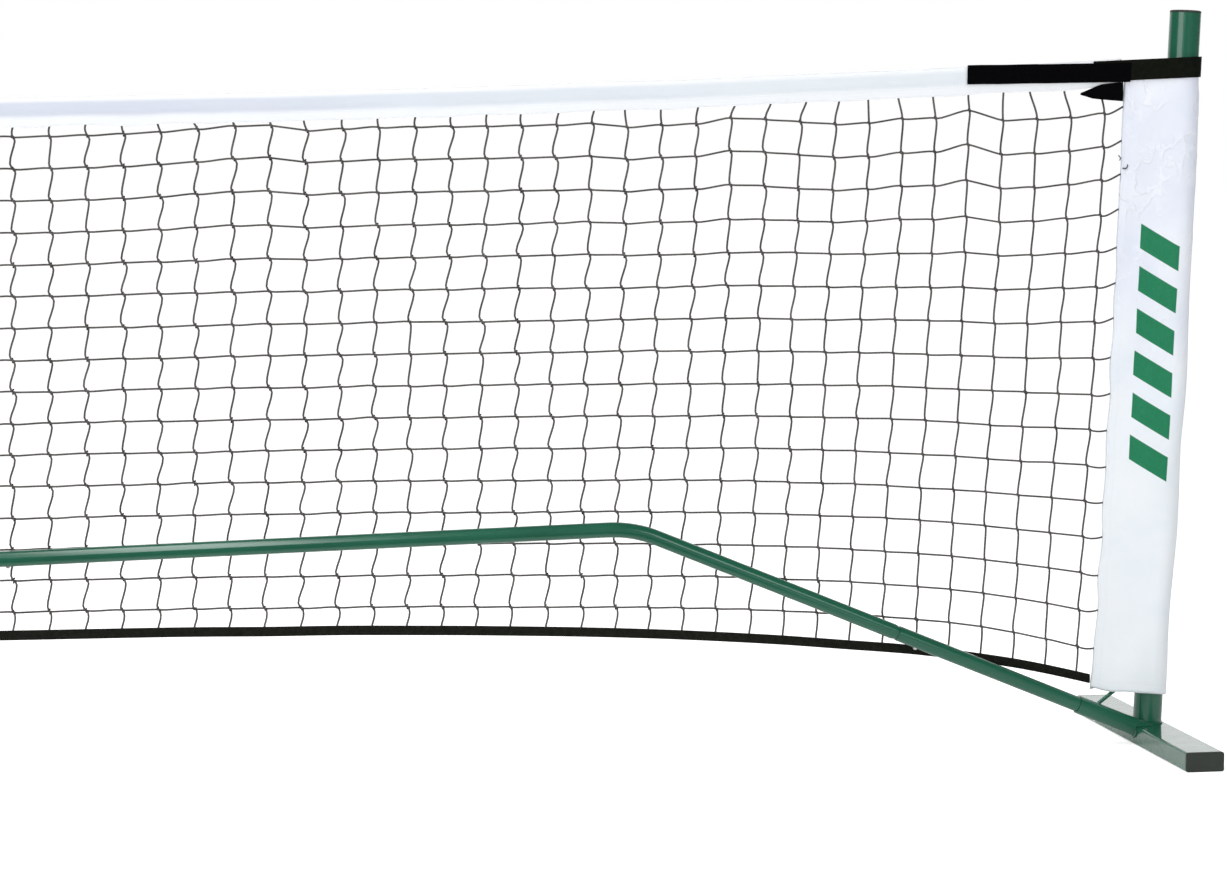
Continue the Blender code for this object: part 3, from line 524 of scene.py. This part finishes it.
def round_shading():
    """Welds a CAD node's faces and shades it smooth, except over its sharp edges."""
    tree = bpy.data.node_groups.new("round_shading", "GeometryNodeTree")
    for way in ("INPUT", "OUTPUT"):
        tree.interface.new_socket("Geometry", in_out=way, socket_type="NodeSocketGeometry")
    names = ("NodeGroupInput", "GeometryNodeRemoveAttribute", "GeometryNodeMergeByDistance")
    names += ("GeometryNodeSetShadeSmooth", "GeometryNodeSetShadeSmooth", "NodeGroupOutput")
    chain = [tree.nodes.new(name) for name in names]
    for before, after in zip(chain, chain[1:]):
        tree.links.new(before.outputs[0], after.inputs[0])
    _, plain, weld, _, edges, _ = chain
    plain.inputs["Name"].default_value = "custom_normal"
    weld.inputs["Distance"].default_value = WELD_DISTANCE
    edges.domain = "EDGE"
    bend = tree.nodes.new("GeometryNodeInputMeshEdgeAngle")
    gentle = tree.nodes.new("FunctionNodeCompare")
    gentle.operation = "LESS_THAN"
    gentle.inputs[1].default_value = SHARP_EDGE
    tree.links.new(bend.outputs["Unsigned Angle"], gentle.inputs[0])
    tree.links.new(gentle.outputs[0], edges.inputs["Shade Smooth"])
    return tree


ROUND = round_shading()
for entry in frame["record"]["subparts"]:
    node = frame["nodes"][entry["node"]]
    node.data.materials.clear()
    flat_steel = entry["node"].endswith("foot_tube")
    node.data.materials.append(FOOT_GREEN if flat_steel else BY_SLOT[entry["material_slot"]])
    node.modifiers.new("round_shading", "NODES").node_group = ROUND
    node.modifiers.new("even_normals", "WEIGHTED_NORMAL").keep_sharp = True


# Netting


def net_knots():
    """Where every knot hangs: (columns, rows, 3)."""
    x = (LAST_COLUMN - PITCH * np.arange(COLUMNS))[::-1, None]
    share = np.arange(ROWS)[None] / (ROWS - 1)
    out = np.abs(x) / POST_X
    top = band_top(x) - BAND_HEIGHT - 0.012 - 0.031 * out**6
    low = tape_height(x) + 0.029 + 0.015 * out**6
    z = top + (low - top) * share
    lift = sum(h * np.exp(-(((x - c) / w) ** 2)) for c, w, h in PUCKERS)
    elsewhere = smoothstep(1.95, 1.75, x)
    lift = lift + elsewhere * 0.0040 * waves(0.24, 3, x)
    row = np.arange(ROWS)[None]
    z = z + lift * np.exp(-((row / 3.6) ** 2))
    # The mesh is drawn up a little towards each end, most of all beside the sleeve
    drawn = DRAWN_UP * np.interp(row, DRAWN_ROWS, DRAWN_SHARES) * smoothstep(3.145, 3.295, np.abs(x))
    z = z + drawn + 0.0060 * share * smoothstep(2.45, 2.98, np.abs(x))
    z = z + 0.0007 * waves(0.16, 5, x + 0 * share, row * PITCH) * (0.4 + 0.6 * np.sin(math.pi * share))
    x = x + np.sign(x) * 0.038 * out**2 * (z - 0.80)
    x = x + 0.0011 * waves(0.30, 7, x, z) + 0.0006 * waves(0.07, 9, x, z)
    y = band_sway(x) + 0.0008 * waves(0.25, 11, x, z) * smoothstep(0, 3, row)
    return np.stack([x, y, z], -1)


def netting():
    """Every strand and knot, hanging from the headband's hem to the bottom tape."""
    knots = net_knots()
    rng = np.random.default_rng(21)
    slack = 1 - 0.62 * smoothstep(2.4, 3.15, np.abs(knots[..., 0]))
    slack = slack * rng.uniform(0.7, 1.25, slack.shape)
    sideways = (0.0017 * slack)[..., None] * np.array((1.0, 0, 0))
    drop = np.array((0, 0, -0.0016))
    enter, leave = knots - sideways - drop, knots + sideways + drop
    heading = sideways * 1.7 + np.array((0, 0, -0.0030))

    def vertical(rows_from, rows_to):
        """S-curved strands from one row's knots to the next's."""
        start, end = leave[:, rows_from].reshape(-1, 3), enter[:, rows_to].reshape(-1, 3)
        push = heading[:, rows_from].reshape(-1, 3) * rng.uniform(0.9, 2.4, (len(start), 1))
        pull = heading[:, rows_to].reshape(-1, 3) * rng.uniform(0.9, 2.4, (len(start), 1))
        curve = bezier(start, start + push, end - pull, end, 7)
        first, last = knots[:, rows_from].reshape(-1, 1, 3), knots[:, rows_to].reshape(-1, 1, 3)
        return np.concatenate([first, curve, last], 1)

    down = vertical(slice(0, ROWS - 1), slice(1, ROWS))

    across = np.array((0.0019, 0, -0.0004))
    wobble = rng.uniform(0.6, 1.5, knots.shape[:2] + (1,))
    left, right = knots - across * wobble, knots + across * wobble
    start, end = right[:-1].reshape(-1, 3), left[1:].reshape(-1, 3)
    tilt = np.array((0.0045, 0, -0.0007)) * rng.uniform(0.3, 1.7, (len(start), 1))
    side = bezier(start, start + tilt, end - tilt, end, 6)
    side = np.concatenate([knots[:-1].reshape(-1, 1, 3), side, knots[1:].reshape(-1, 1, 3)], 1)

    first = knots[:, 0]
    top = first.copy()
    lean = np.interp(first[:, 0], [x for x, _ in STUB_LEAN], [shift for _, shift in STUB_LEAN])
    random_lean = 0.005 * waves(0.3, 31, first[:, 0]) + 0.0015 * rng.normal(size=len(first))
    top[:, 0] += np.where(first[:, 0] > STUB_LEAN_FROM, lean, random_lean)
    top[:, 2] = band_top(first[:, 0]) - BAND_HEIGHT + 0.008
    hooked = (first[:, 0] > 1.80) & (first[:, 0] < 1.97)
    hook = rng.uniform(-0.0015, 0.0035, len(first)) + 0.0045 * hooked
    hook = hook[:, None] * np.array((1.0, 0, 0))
    rise = (top - first) * np.array((0, 0, 0.35))
    stub = bezier(first, first - sideways[:, 0] * 1.6 + rise, top - hook - rise, top, 8)

    last = knots[:, -1]
    foot = last.copy()
    foot[:, 0] -= np.sign(last[:, 0]) * 0.0012
    foot[:, 2] = tape_height(last[:, 0]) + TAPE_HEIGHT / 2 - 0.0022
    sink = (foot - last) * 0.3
    hem = bezier(leave[:, -1], leave[:, -1] + sink + heading[:, -1], foot - sink, foot, 6)
    hem = np.concatenate([last[:, None], hem], 1)

    ends = []
    for column, sign in ((0, -1), (COLUMNS - 1, 1)):
        knot = knots[column]
        share = np.arange(ROWS) / (ROWS - 1)
        edge = np.zeros_like(knot)
        edge[:, 2] = knot[:, 2] + 0.0125 * np.clip(1 - share * 1.5, 0, 1)
        edge[:, 2] += 0.0010 * rng.normal(size=ROWS)
        edge[:, 0] = sign * (sleeve_edge(edge[:, 2]) + 0.007)
        begin = knot + sign * np.array((0.0022, 0, 0)) + np.array((0, 0, -0.0012))
        hang = np.zeros_like(knot)
        hang[:, 0], hang[:, 2] = sign * 0.008, -0.0030 * share - 0.0005
        reach = np.zeros_like(knot)
        reach[:, 0], reach[:, 2] = sign * 0.009, 0.0030 + 0.0015 * share
        curve = bezier(begin, begin + hang, edge - reach, edge, 8)
        ends.append(np.concatenate([knot[:, None], curve], 1))

    tubes("netting_down", [down, stub, hem], TWINE_RADIUS, 5, TWINE)
    tubes("netting_across", [side] + ends, TWINE_RADIUS * 0.95, 5, TWINE)
    wraps = knot_wraps(knots.reshape(-1, 3), rng)
    body = tubes("netting_knots", [wraps], TWINE_RADIUS * 0.8, 4, TWINE)
    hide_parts("net_panel")


def sleeve_edge(z):
    """How far from the centre the sleeve's net-side edge is at a height."""
    return POST_X + math.tan(RAKE) * (z - FOOT_TOP) - SLEEVE_REACH / math.cos(RAKE)


def knot_wraps(places, rng):
    """Each knot is a turn and a half of twine cinched round the crossing, leaning down to +X."""
    turn = np.linspace(0, 2 * math.pi * KNOT_TURNS, 10)
    count = len(places)
    size = rng.uniform(0.88, 1.15, (count, 1))
    lean = rng.normal(math.radians(-52), math.radians(11), (count, 1))
    along = (turn / turn[-1] - 0.5) * KNOT_LENGTH
    u = along[None] * size
    v = KNOT_RADIUS * np.cos(turn)[None] * size
    w = KNOT_RADIUS * np.sin(turn)[None] * size
    x = u * np.cos(lean) - v * np.sin(lean)
    z = u * np.sin(lean) + v * np.cos(lean)
    return places[:, None] + np.stack([x, w, z], -1)


netting()


# Headband and bottom tape


def headband():
    """The white band folded over the net's top edge."""
    x = np.linspace(-BAND_END_X, BAND_END_X, BAND_STATIONS)[:, None]
    drop = np.array(BAND_DEPTHS + [0.0] + BAND_DEPTHS[::-1])[None]
    side = np.array([-1.0] * len(BAND_DEPTHS) + [0.0] + [1.0] * len(BAND_DEPTHS))[None]
    pocket = np.sqrt(np.clip(1 - ((drop - 0.0125) / 0.0127) ** 2, 0, 1))
    hem = smoothstep(0.0240, 0.0252, drop)
    away = 0.00155 + 0.00075 * pocket + 0.00045 * hem
    away = away * smoothstep(-0.0009, 0.0030, drop)
    wander = waves(0.20, 41, x + 0 * drop, drop * 3 + side * 0.1)
    away = away + 0.00022 * wander * smoothstep(0.0, 0.006, drop)
    scallop = 0.0010 * waves(0.11, 43, x) * smoothstep(0.015, 0.036, drop)
    z = band_top(x) - drop + scallop + 0.0004 * waves(0.35, 47, x)
    y = side * away + band_sway(x)
    points = np.stack(np.broadcast_arrays(x, y, z), -1)
    uv = np.stack(np.broadcast_arrays(x + 4, drop + 0 * x), -1)
    quads = grid_quads(BAND_STATIONS, drop.shape[1])
    obj = piece("headband_cloth", points, quads, BAND, uv)
    thicken(obj, CLOTH)
    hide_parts("headband")


def bottom_tape():
    """The black tape folded over the net's lower edge."""
    x = np.linspace(-TAPE_END_X, TAPE_END_X, TAPE_STATIONS)[:, None]
    half = TAPE_HEIGHT / 2
    lift = [half, half - 0.0004, 0.003, 0.0, -0.003, -0.0048, -0.0057]
    z_part = np.array(lift + [-half] + lift[::-1])[None]
    side = np.array([-1.0] * len(lift) + [0.0] + [1.0] * len(lift))[None]
    away = 0.0017 * np.sqrt(np.clip((z_part + half) / 0.003, 0, 1))
    y = side * np.minimum(away, 0.0017) + 0.0004 * waves(0.5, 51, x)
    z = tape_height(x) + z_part + 0.0003 * waves(0.22, 53, x)
    points = np.stack(np.broadcast_arrays(x, y, z), -1)
    uv = np.stack(np.broadcast_arrays(x + 4, z_part + side * 0.02 + 0 * x), -1)
    quads = grid_quads(TAPE_STATIONS, z_part.shape[1])
    obj = piece("hem_tape", points, quads, TAPE, uv)
    thicken(obj, TAPE_CLOTH)
    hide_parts("bottom_tape")


headband()
bottom_tape()


# The posts' fabric


def to_post(points, sign):
    """From a post's raked frame, where the post is the Z axis, to the model's frame."""
    x, y, h = points[..., 0], points[..., 1], points[..., 2]
    outward = POST_X + x * math.cos(RAKE) + h * math.sin(RAKE)
    up = FOOT_TOP - x * math.sin(RAKE) + h * math.cos(RAKE)
    return np.stack([sign * outward, y, up], -1)


def sleeve_outline(flap_steps=30, arc_steps=44):
    """Points round the sleeve from the front edge to the rear one, and their outward normals."""
    tangent = math.acos((SLEEVE_RADIUS - SLEEVE_GAP) / SLEEVE_REACH)
    touch = (-SLEEVE_RADIUS * math.cos(tangent), SLEEVE_RADIUS * math.sin(tangent))
    share = np.linspace(0, 1, flap_steps, endpoint=False)
    x = -SLEEVE_REACH + share * (touch[0] + SLEEVE_REACH)
    y = -(0.0012 + share * (touch[1] - 0.0012))
    angle = (math.pi - tangent) * (np.linspace(-1, 1, arc_steps))
    xs = np.concatenate([x, SLEEVE_RADIUS * np.cos(angle), x[::-1]])
    ys = np.concatenate([y, SLEEVE_RADIUS * np.sin(angle), -y[::-1]])
    step = np.gradient(np.stack([xs, ys], -1), axis=0)
    step /= np.linalg.norm(step, axis=1, keepdims=True)
    around = np.concatenate([[0], np.cumsum(np.hypot(np.diff(xs), np.diff(ys)))])
    return xs, ys, np.stack([step[:, 1], -step[:, 0]], -1), around


def sleeve(prefix, sign):
    """The cloth sleeve over a post: loose at its foot, creased, and held in by the strap."""
    xs, ys, normal, around = sleeve_outline()
    height = np.linspace(SLEEVE_BOTTOM, SLEEVE_TOP, CLOTH_ROWS)[:, None]
    s = around[None]
    seed = 60 if sign > 0 else 70
    inner = np.minimum(s, around[-1] - s)
    free = smoothstep(0.0, 0.018, inner)
    soft = 0.0011 * (1 + waves(0.10, seed, s * 1.6, height * 0.5))
    crease = np.clip(waves(0.060, seed + 1, s * 1.2, height * 0.6), 0, 2) ** 2 * 0.0004
    near_top = smoothstep(0.55, 0.87, height)
    pulled = np.clip(waves(0.026, seed + 2, s, height * 0.7), 0, 2) ** 2 * 0.0005 * near_top
    loose = 0.0040 * (1 - smoothstep(0.0, 0.085, height - SLEEVE_BOTTOM)) * np.sin(
        math.pi * np.clip(inner / 0.075, 0, 1)
    )
    middle = np.sin(math.pi * np.linspace(0.0, 1.0, CLOTH_ROWS))[:, None].clip(0, 1)
    belly = 0.0036 * middle * smoothstep(0.075, 0.115, inner)
    tucked = 1 - smoothstep(STRAP_LOW - 0.030, STRAP_LOW, height)
    push = ((soft + crease + pulled) * free + belly) * tucked + loose
    x = xs[None] + normal[:, 0][None] * push
    y = ys[None] + normal[:, 1][None] * push
    sag = 0.0012 * waves(0.06, seed + 3, s) - 0.0030 * smoothstep(0.02, 0.07, inner)
    h = height + sag * (1 - smoothstep(0.0, 0.05, height - SLEEVE_BOTTOM))
    flare = 0.0028 * (1 - smoothstep(0.0, 0.09, height - SLEEVE_BOTTOM))
    ripple = 0.0008 * waves(0.10, seed + 4, height) + 0.0022 * middle - flare
    ripple = ripple * (1 - smoothstep(0.0, 0.05, inner))
    points = to_post(np.stack(np.broadcast_arrays(x + ripple, y, h), -1), sign)
    uv = np.stack(np.broadcast_arrays(s, height), -1)
    quads = grid_quads(CLOTH_ROWS, len(xs))
    obj = piece(prefix + "sleeve_cloth", points, quads, SLEEVE, uv)
    thicken(obj, CLOTH)
    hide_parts(prefix + "side_sleeve")


def strap_line(x, start_x, start_z, end_x, end_z):
    """The height of a straight strap's middle line."""
    return start_z + (x - start_x) / (end_x - start_x) * (end_z - start_z)


def strap(prefix, sign):
    """The webbing loop round the post, and the hook tape laid over its front run."""
    post_x = POST_X + math.tan(RAKE) * (STRAP_POST_Z - FOOT_TOP)
    bend_x = post_x - SLEEVE_REACH
    flat_y = STRAP_FRONT_Y + 0.0006
    tilt = math.atan2(flat_y, SLEEVE_REACH)
    touch = math.acos(STRAP_RADIUS / math.hypot(SLEEVE_REACH, flat_y)) - tilt
    angle = np.linspace(-(math.pi - touch), math.pi - touch, 48)
    wrap = np.stack([post_x + STRAP_RADIUS * np.cos(angle), STRAP_RADIUS * np.sin(angle)], -1)
    front_x = np.linspace(3.262, wrap[0, 0], 24, endpoint=False)
    front = [STRAP_START_X, bend_x, wrap[0, 0]], [-STRAP_FRONT_Y, -flat_y, wrap[0, 1]]
    front_y = np.interp(front_x, *front)
    rear_x = np.linspace(wrap[-1, 0], STRAP_REAR_X, 40)[1:]
    rear_y = np.interp(
        -rear_x, [-wrap[-1, 0], -bend_x, -STRAP_REAR_X], [wrap[-1, 1], flat_y, STRAP_FRONT_Y]
    )
    path = np.concatenate([np.stack([front_x, front_y], -1), wrap, np.stack([rear_x, rear_y], -1)])
    middle = strap_line(path[:, 0], 3.2725, 0.8945, 3.409, 0.9012)
    ribbon(prefix + "post_strap", path, middle, STRAP_HALF, WEBBING, STRAP, sign, prefix + "end_strap")

    x = np.linspace(STRAP_START_X, 3.3130, 60)
    y = np.interp(x, *front)
    over = smoothstep(3.245, 3.265, x)
    y = y + 0.0002 - 0.0014 * over
    middle = strap_line(x, 3.0918, 0.8889, 3.3135, 0.8934) + 0.0001 * waves(0.08, 81, x)
    path = np.stack([x, y], -1)
    tape = ribbon(prefix + "hook_tape", path, middle, HOOK_HALF, WEBBING, HOOK, sign, None)


def ribbon(name, path, middle, half, thickness, material, sign, replaced):
    """A strap on edge along a path in plan, leaning with the post."""
    lean = math.sin(RAKE) * np.clip((path[:, 0] - STRAP_START_X) / 0.25, 0, 1)
    length = np.concatenate([[0], np.cumsum(np.linalg.norm(np.diff(path, axis=0), axis=1))])
    across = half * ACROSS_STRAP
    x = path[:, 0][:, None] + across * lean[:, None]
    y = path[:, 1][:, None] + 0 * across
    z = middle[:, None] + across
    points = np.stack([sign * x, y, z], -1)
    uv = np.stack(np.broadcast_arrays(length[:, None], across), -1)
    obj = piece(name, points, grid_quads(len(path), len(across)), material, uv)
    thicken(obj, thickness, edge=EDGE_ROUNDING)
    if replaced:
        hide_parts(replaced)
        post = name.split("_")[0] + "_upright_tube"
    return obj


def tab(prefix, sign):
    """The loose tail of the strap, folded to a fin that hangs below it at the sleeve's edge."""
    columns, rows = 26, 9
    share = np.linspace(0, 1, columns)[:, None]
    x = TAIL_UPPER[0][0] + (TAIL_UPPER[0][-1] - TAIL_UPPER[0][0]) * share
    upper = np.interp(x, *TAIL_UPPER) + 0.0012 * np.sin(math.pi * share)
    lower = np.interp(x, *TAIL_LOWER) - 0.0004 * np.sin(math.pi * share)
    rung = np.linspace(0, 1, rows)[None]
    z = lower + (upper - lower) * rung
    y = -STRAP_FRONT_Y - 0.0010 * np.sin(math.pi * rung) - 0.0012 * (1 - share) ** 2
    points = np.stack(np.broadcast_arrays(sign * x, y, z), -1)
    uv = np.stack(np.broadcast_arrays(x + 0 * z, z), -1)
    obj = piece(prefix + "strap_tail", points, grid_quads(columns, rows), HOOK, uv)
    thicken(obj, HOOK_CLOTH, edge=EDGE_ROUNDING)
    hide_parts(prefix + "strap_tab")


def thread_tails(prefix, sign):
    """Loose ends of twine where the netting's edge cord is tied off at the sleeve."""
    paths = []
    for x, z, heading in THREAD_STARTS:
        t = np.linspace(0, 1, THREAD_POINTS)
        curl = heading + 2.2 * t
        step = THREAD_LENGTH / THREAD_POINTS
        dx, dz = np.cumsum(np.cos(curl)) * step, np.cumsum(np.sin(curl)) * step
        paths.append(np.stack([sign * (x + dx), -0.0042 - 0.0012 * t, z + dz], -1))
    radius = np.full(THREAD_POINTS, THREAD_RADIUS)
    radius[0] = radius[-1] = 0.0001
    tubes(prefix + "thread_tails", [np.array(paths)], radius, 6, TWINE)


def omega(name, radius, flat_y, reach, low, high, replaced):
    """A strap sewn to the net at both ends and bowed forward round the centre rod or leg."""
    opening = math.radians(40)
    angle = math.pi / 2 + opening + (2 * math.pi - 2 * opening) * np.linspace(0, 1, 40)
    loop = np.stack([radius * np.cos(angle), BOW_Y + radius * np.sin(angle)], -1)
    left = np.stack([np.linspace(-reach, -radius * 1.6, 16), np.full(16, -flat_y)], -1)
    right = np.stack([np.linspace(radius * 1.6, reach, 16), np.full(16, -flat_y)], -1)
    path = np.concatenate([left, loop, right])
    half = (high - low) / 2
    middle = np.full(len(path), (high + low) / 2)
    across = half * ACROSS_STRAP
    length = np.concatenate([[0], np.cumsum(np.linalg.norm(np.diff(path, axis=0), axis=1))])
    points = np.stack(np.broadcast_arrays(path[:, :1], path[:, 1:], middle[:, None] + across), -1)
    uv = np.stack(np.broadcast_arrays(length[:, None], across), -1)
    obj = piece(name, points, grid_quads(len(path), len(across)), STRAP, uv)
    thicken(obj, LOOP_CLOTH, edge=EDGE_ROUNDING)
    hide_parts(replaced)


omega("rod_loop", 0.0072, 0.0034, 0.045, TOP_AT_CENTRE - 0.034, TOP_AT_CENTRE - 0.002, "centre_strap")
omega("leg_loop", 0.0132, 0.0035, 0.040, TAPE_Z_CENTRE - 0.006, TAPE_Z_CENTRE + 0.006, "tape_tie")


# Welds
WELD_RIPPLE, WELD_WANDER = 0.0016, 0.017


def bead(name, points, radius, closed=True, reference=(0.0, 0.0, 1.0)):
    """A weld bead along a path, with the ripples the torch leaves."""
    points = np.asarray(points, dtype=float)
    if closed:
        points = np.concatenate([points, points[:1]])
    along = np.concatenate([[0], np.cumsum(np.linalg.norm(np.diff(points, axis=0), axis=1))])
    ripple = 1 + 0.10 * np.abs(np.sin(along * math.pi / WELD_RIPPLE))
    thick = radius * (ripple + 0.10 * np.sin(along * 2 * math.pi / WELD_WANDER))
    if not closed:
        ends = np.minimum(along, along[-1] - along)
        thick = thick * np.sqrt(np.clip(ends / 0.003, 0.02, 1))
    return tubes(name, [points[None]], thick, 10, GREEN, reference)


def frame_welds(prefix, sign):
    """The beads round the post's stub and under the base bar's socket."""
    flip = np.array((sign, 1, 1))
    angle = np.linspace(0, 2 * math.pi, 150, endpoint=False)
    ring = np.stack([
        POST_X + (STUB_RADIUS + 0.0004) * np.cos(angle),
        (STUB_RADIUS + 0.0004) * np.sin(angle),
        np.full(150, FOOT_TOP + 0.0005),
    ], -1)
    bead(prefix + "stub_weld", ring * flip, 0.0015)
    side_x = POST_X - FOOT_HALF_WIDTH
    low = np.linspace(math.radians(-172), math.radians(-8), 60)
    spread = SOCKET_RADIUS + 0.0006
    up, out = spread * np.sin(low), spread * np.cos(low)
    z = 0.0238 + up * math.cos(BOW_SLANT) + up * math.sin(BOW_SLANT) * math.tan(BOW_SLANT)
    keep = (z > 0.0045) & (z < FOOT_TOP)
    arc = np.stack([np.full(60, side_x - 0.0007), BOW_Y + out, z], -1)[keep]
    bead(prefix + "socket_weld", arc * flip, 0.0016, closed=False, reference=(1.0, 0.0, 0.0))


def post_spring(prefix):
    """The V spring inside the stub, copied unchanged from its CAD node and shaded smooth; it is not
    closed up for the post's button.
    """
    node = prefix + "upright_spring"
    obj = bpy.data.objects.new(prefix + "post_spring", frame["nodes"][node].data.copy())
    bpy.context.scene.collection.objects.link(obj)
    obj.modifiers.new("round_shading", "NODES").node_group = ROUND
    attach(obj, "frame")
    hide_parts(node)
    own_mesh(obj)


for prefix, sign in (("right_", 1), ("left_", -1)):
    post_spring(prefix)
    sleeve(prefix, sign)
    strap(prefix, sign)
    tab(prefix, sign)
    thread_tails(prefix, sign)
    frame_welds(prefix, sign)


# Studio: a room that is dimmer to gloss, a bright wall behind the net, and softboxes
ROOM_LIGHT, GLOSS_ROOM, WALL_LIGHT = 0.42, 0.12, 1.20
WALL_FROM, WALL_FULL = 0.45, 0.90  # how far round to the back the wall starts and is full
FLOOR_HALF, FLOOR_BELOW = 40, 0.0002
# Name, place, target, width and height, radiance, and what it lights: all, matt or gloss
SOFTBOXES = (
    ("key", (-2.4, -5.6, 1.9), (2.6, 0, 0.5), (5.5, 2.8), 2.75, "all"),
    ("overhead", (1.3, -0.8, 3.4), (1.5, 0, 0.2), (2.4, 1.8), 3.4, "matt"),
    ("fill", (5.8, -4.6, 1.8), (2.8, 0, 0.4), (3.0, 2.6), 2.3, "matt"),
    ("strip", (2.13, -1.5, 2.9), (2.0, 0.4, 0.3), (0.50, 5.2), 6.5, "gloss"),
    ("side", (5.05, -4.8, 2.35), (2.8, 0, 0.22), (1.2, 1.5), 3.6, "gloss"),
)


def studio():
    """The floor, the room's light and the softboxes."""
    mesh = bpy.data.meshes.new("studio_floor")
    corners = [(x * FLOOR_HALF, y * FLOOR_HALF, 0) for x, y in ((-1, -1), (1, -1), (1, 1), (-1, 1))]
    mesh.from_pydata(corners, [], [(0, 1, 2, 3)])
    floor = bpy.data.objects.new("studio_floor", mesh)
    bpy.context.scene.collection.objects.link(floor)
    floor.location.z = -FLOOR_BELOW
    floor.data.materials.append(studio_white())

    world = bpy.data.worlds.new("studio")
    bpy.context.scene.world = world
    world.use_nodes = True
    tree = world.node_tree
    room = tree.nodes["Background"]
    facing = tree.nodes.new("ShaderNodeTexCoord")
    split = tree.nodes.new("ShaderNodeSeparateXYZ")
    tree.links.new(facing.outputs["Generated"], split.inputs[0])
    wall = tree.nodes.new("ShaderNodeMapRange")
    wall.interpolation_type = "SMOOTHSTEP"
    set_range(wall, WALL_FROM, WALL_FULL, ROOM_LIGHT, WALL_LIGHT)
    tree.links.new(split.outputs[1], wall.inputs["Value"])
    dim = tree.nodes.new("ShaderNodeMath")
    dim.operation = "MULTIPLY_ADD"
    dim.inputs[1].default_value, dim.inputs[2].default_value = GLOSS_ROOM - ROOM_LIGHT, ROOM_LIGHT
    tree.links.new(dim.outputs[0], wall.inputs["To Min"])
    tree.links.new(wall.outputs[0], room.inputs["Strength"])
    backdrop = tree.nodes.new("ShaderNodeBackground")
    pick = tree.nodes.new("ShaderNodeMixShader")
    rays = tree.nodes.new("ShaderNodeLightPath")
    tree.links.new(rays.outputs["Is Glossy Ray"], dim.inputs[0])
    tree.links.new(rays.outputs["Is Camera Ray"], pick.inputs[0])
    tree.links.new(room.outputs[0], pick.inputs[1])
    tree.links.new(backdrop.outputs[0], pick.inputs[2])
    tree.links.new(pick.outputs[0], tree.nodes["World Output"].inputs["Surface"])
    for background in (room, backdrop):
        background.inputs["Color"].default_value = (1.0, 1.0, 1.0, 1)
    backdrop.inputs["Strength"].default_value = 1.0
    for name, place, target, size, radiance, lights in SOFTBOXES:
        light = bpy.data.lights.new(name, "AREA")
        light.shape = "RECTANGLE"
        light.size, light.size_y = size
        light.energy = 4 * size[0] * size[1] * radiance
        obj = bpy.data.objects.new(name, light)
        bpy.context.scene.collection.objects.link(obj)
        obj.visible_glossy = lights != "matt"
        obj.visible_diffuse = lights != "gloss"
        obj.location = place
        obj.rotation_euler = (Vector(target) - Vector(place)).to_track_quat("-Z", "Y").to_euler()


CAMERA_PLACE, CAMERA_LENS, SENSOR = (1.852, -4.214, 0.809), 97.54, 36.0
CAMERA_TURN, CAMERA_DIP, CAMERA_ROLL = math.radians(-10.37), math.radians(5.16), math.radians(0.16)


def camera():
    """A long lens just below the net's height, in front of it, turned to +X and tipped down."""
    lens = bpy.data.cameras.new("camera")
    lens.sensor_width = SENSOR
    lens.lens = CAMERA_LENS
    obj = bpy.data.objects.new("camera", lens)
    bpy.context.scene.collection.objects.link(obj)
    turn = Matrix.Rotation(CAMERA_TURN, 4, "Z") @ Matrix.Rotation(math.pi / 2 - CAMERA_DIP, 4, "X")
    turn = turn @ Matrix.Rotation(CAMERA_ROLL, 4, "Z")
    obj.matrix_world = Matrix.Translation(CAMERA_PLACE) @ turn
    bpy.context.scene.camera = obj


studio()
camera()
bpy.context.scene.view_settings.view_transform = "Standard"

bpy.context.view_layer.update()
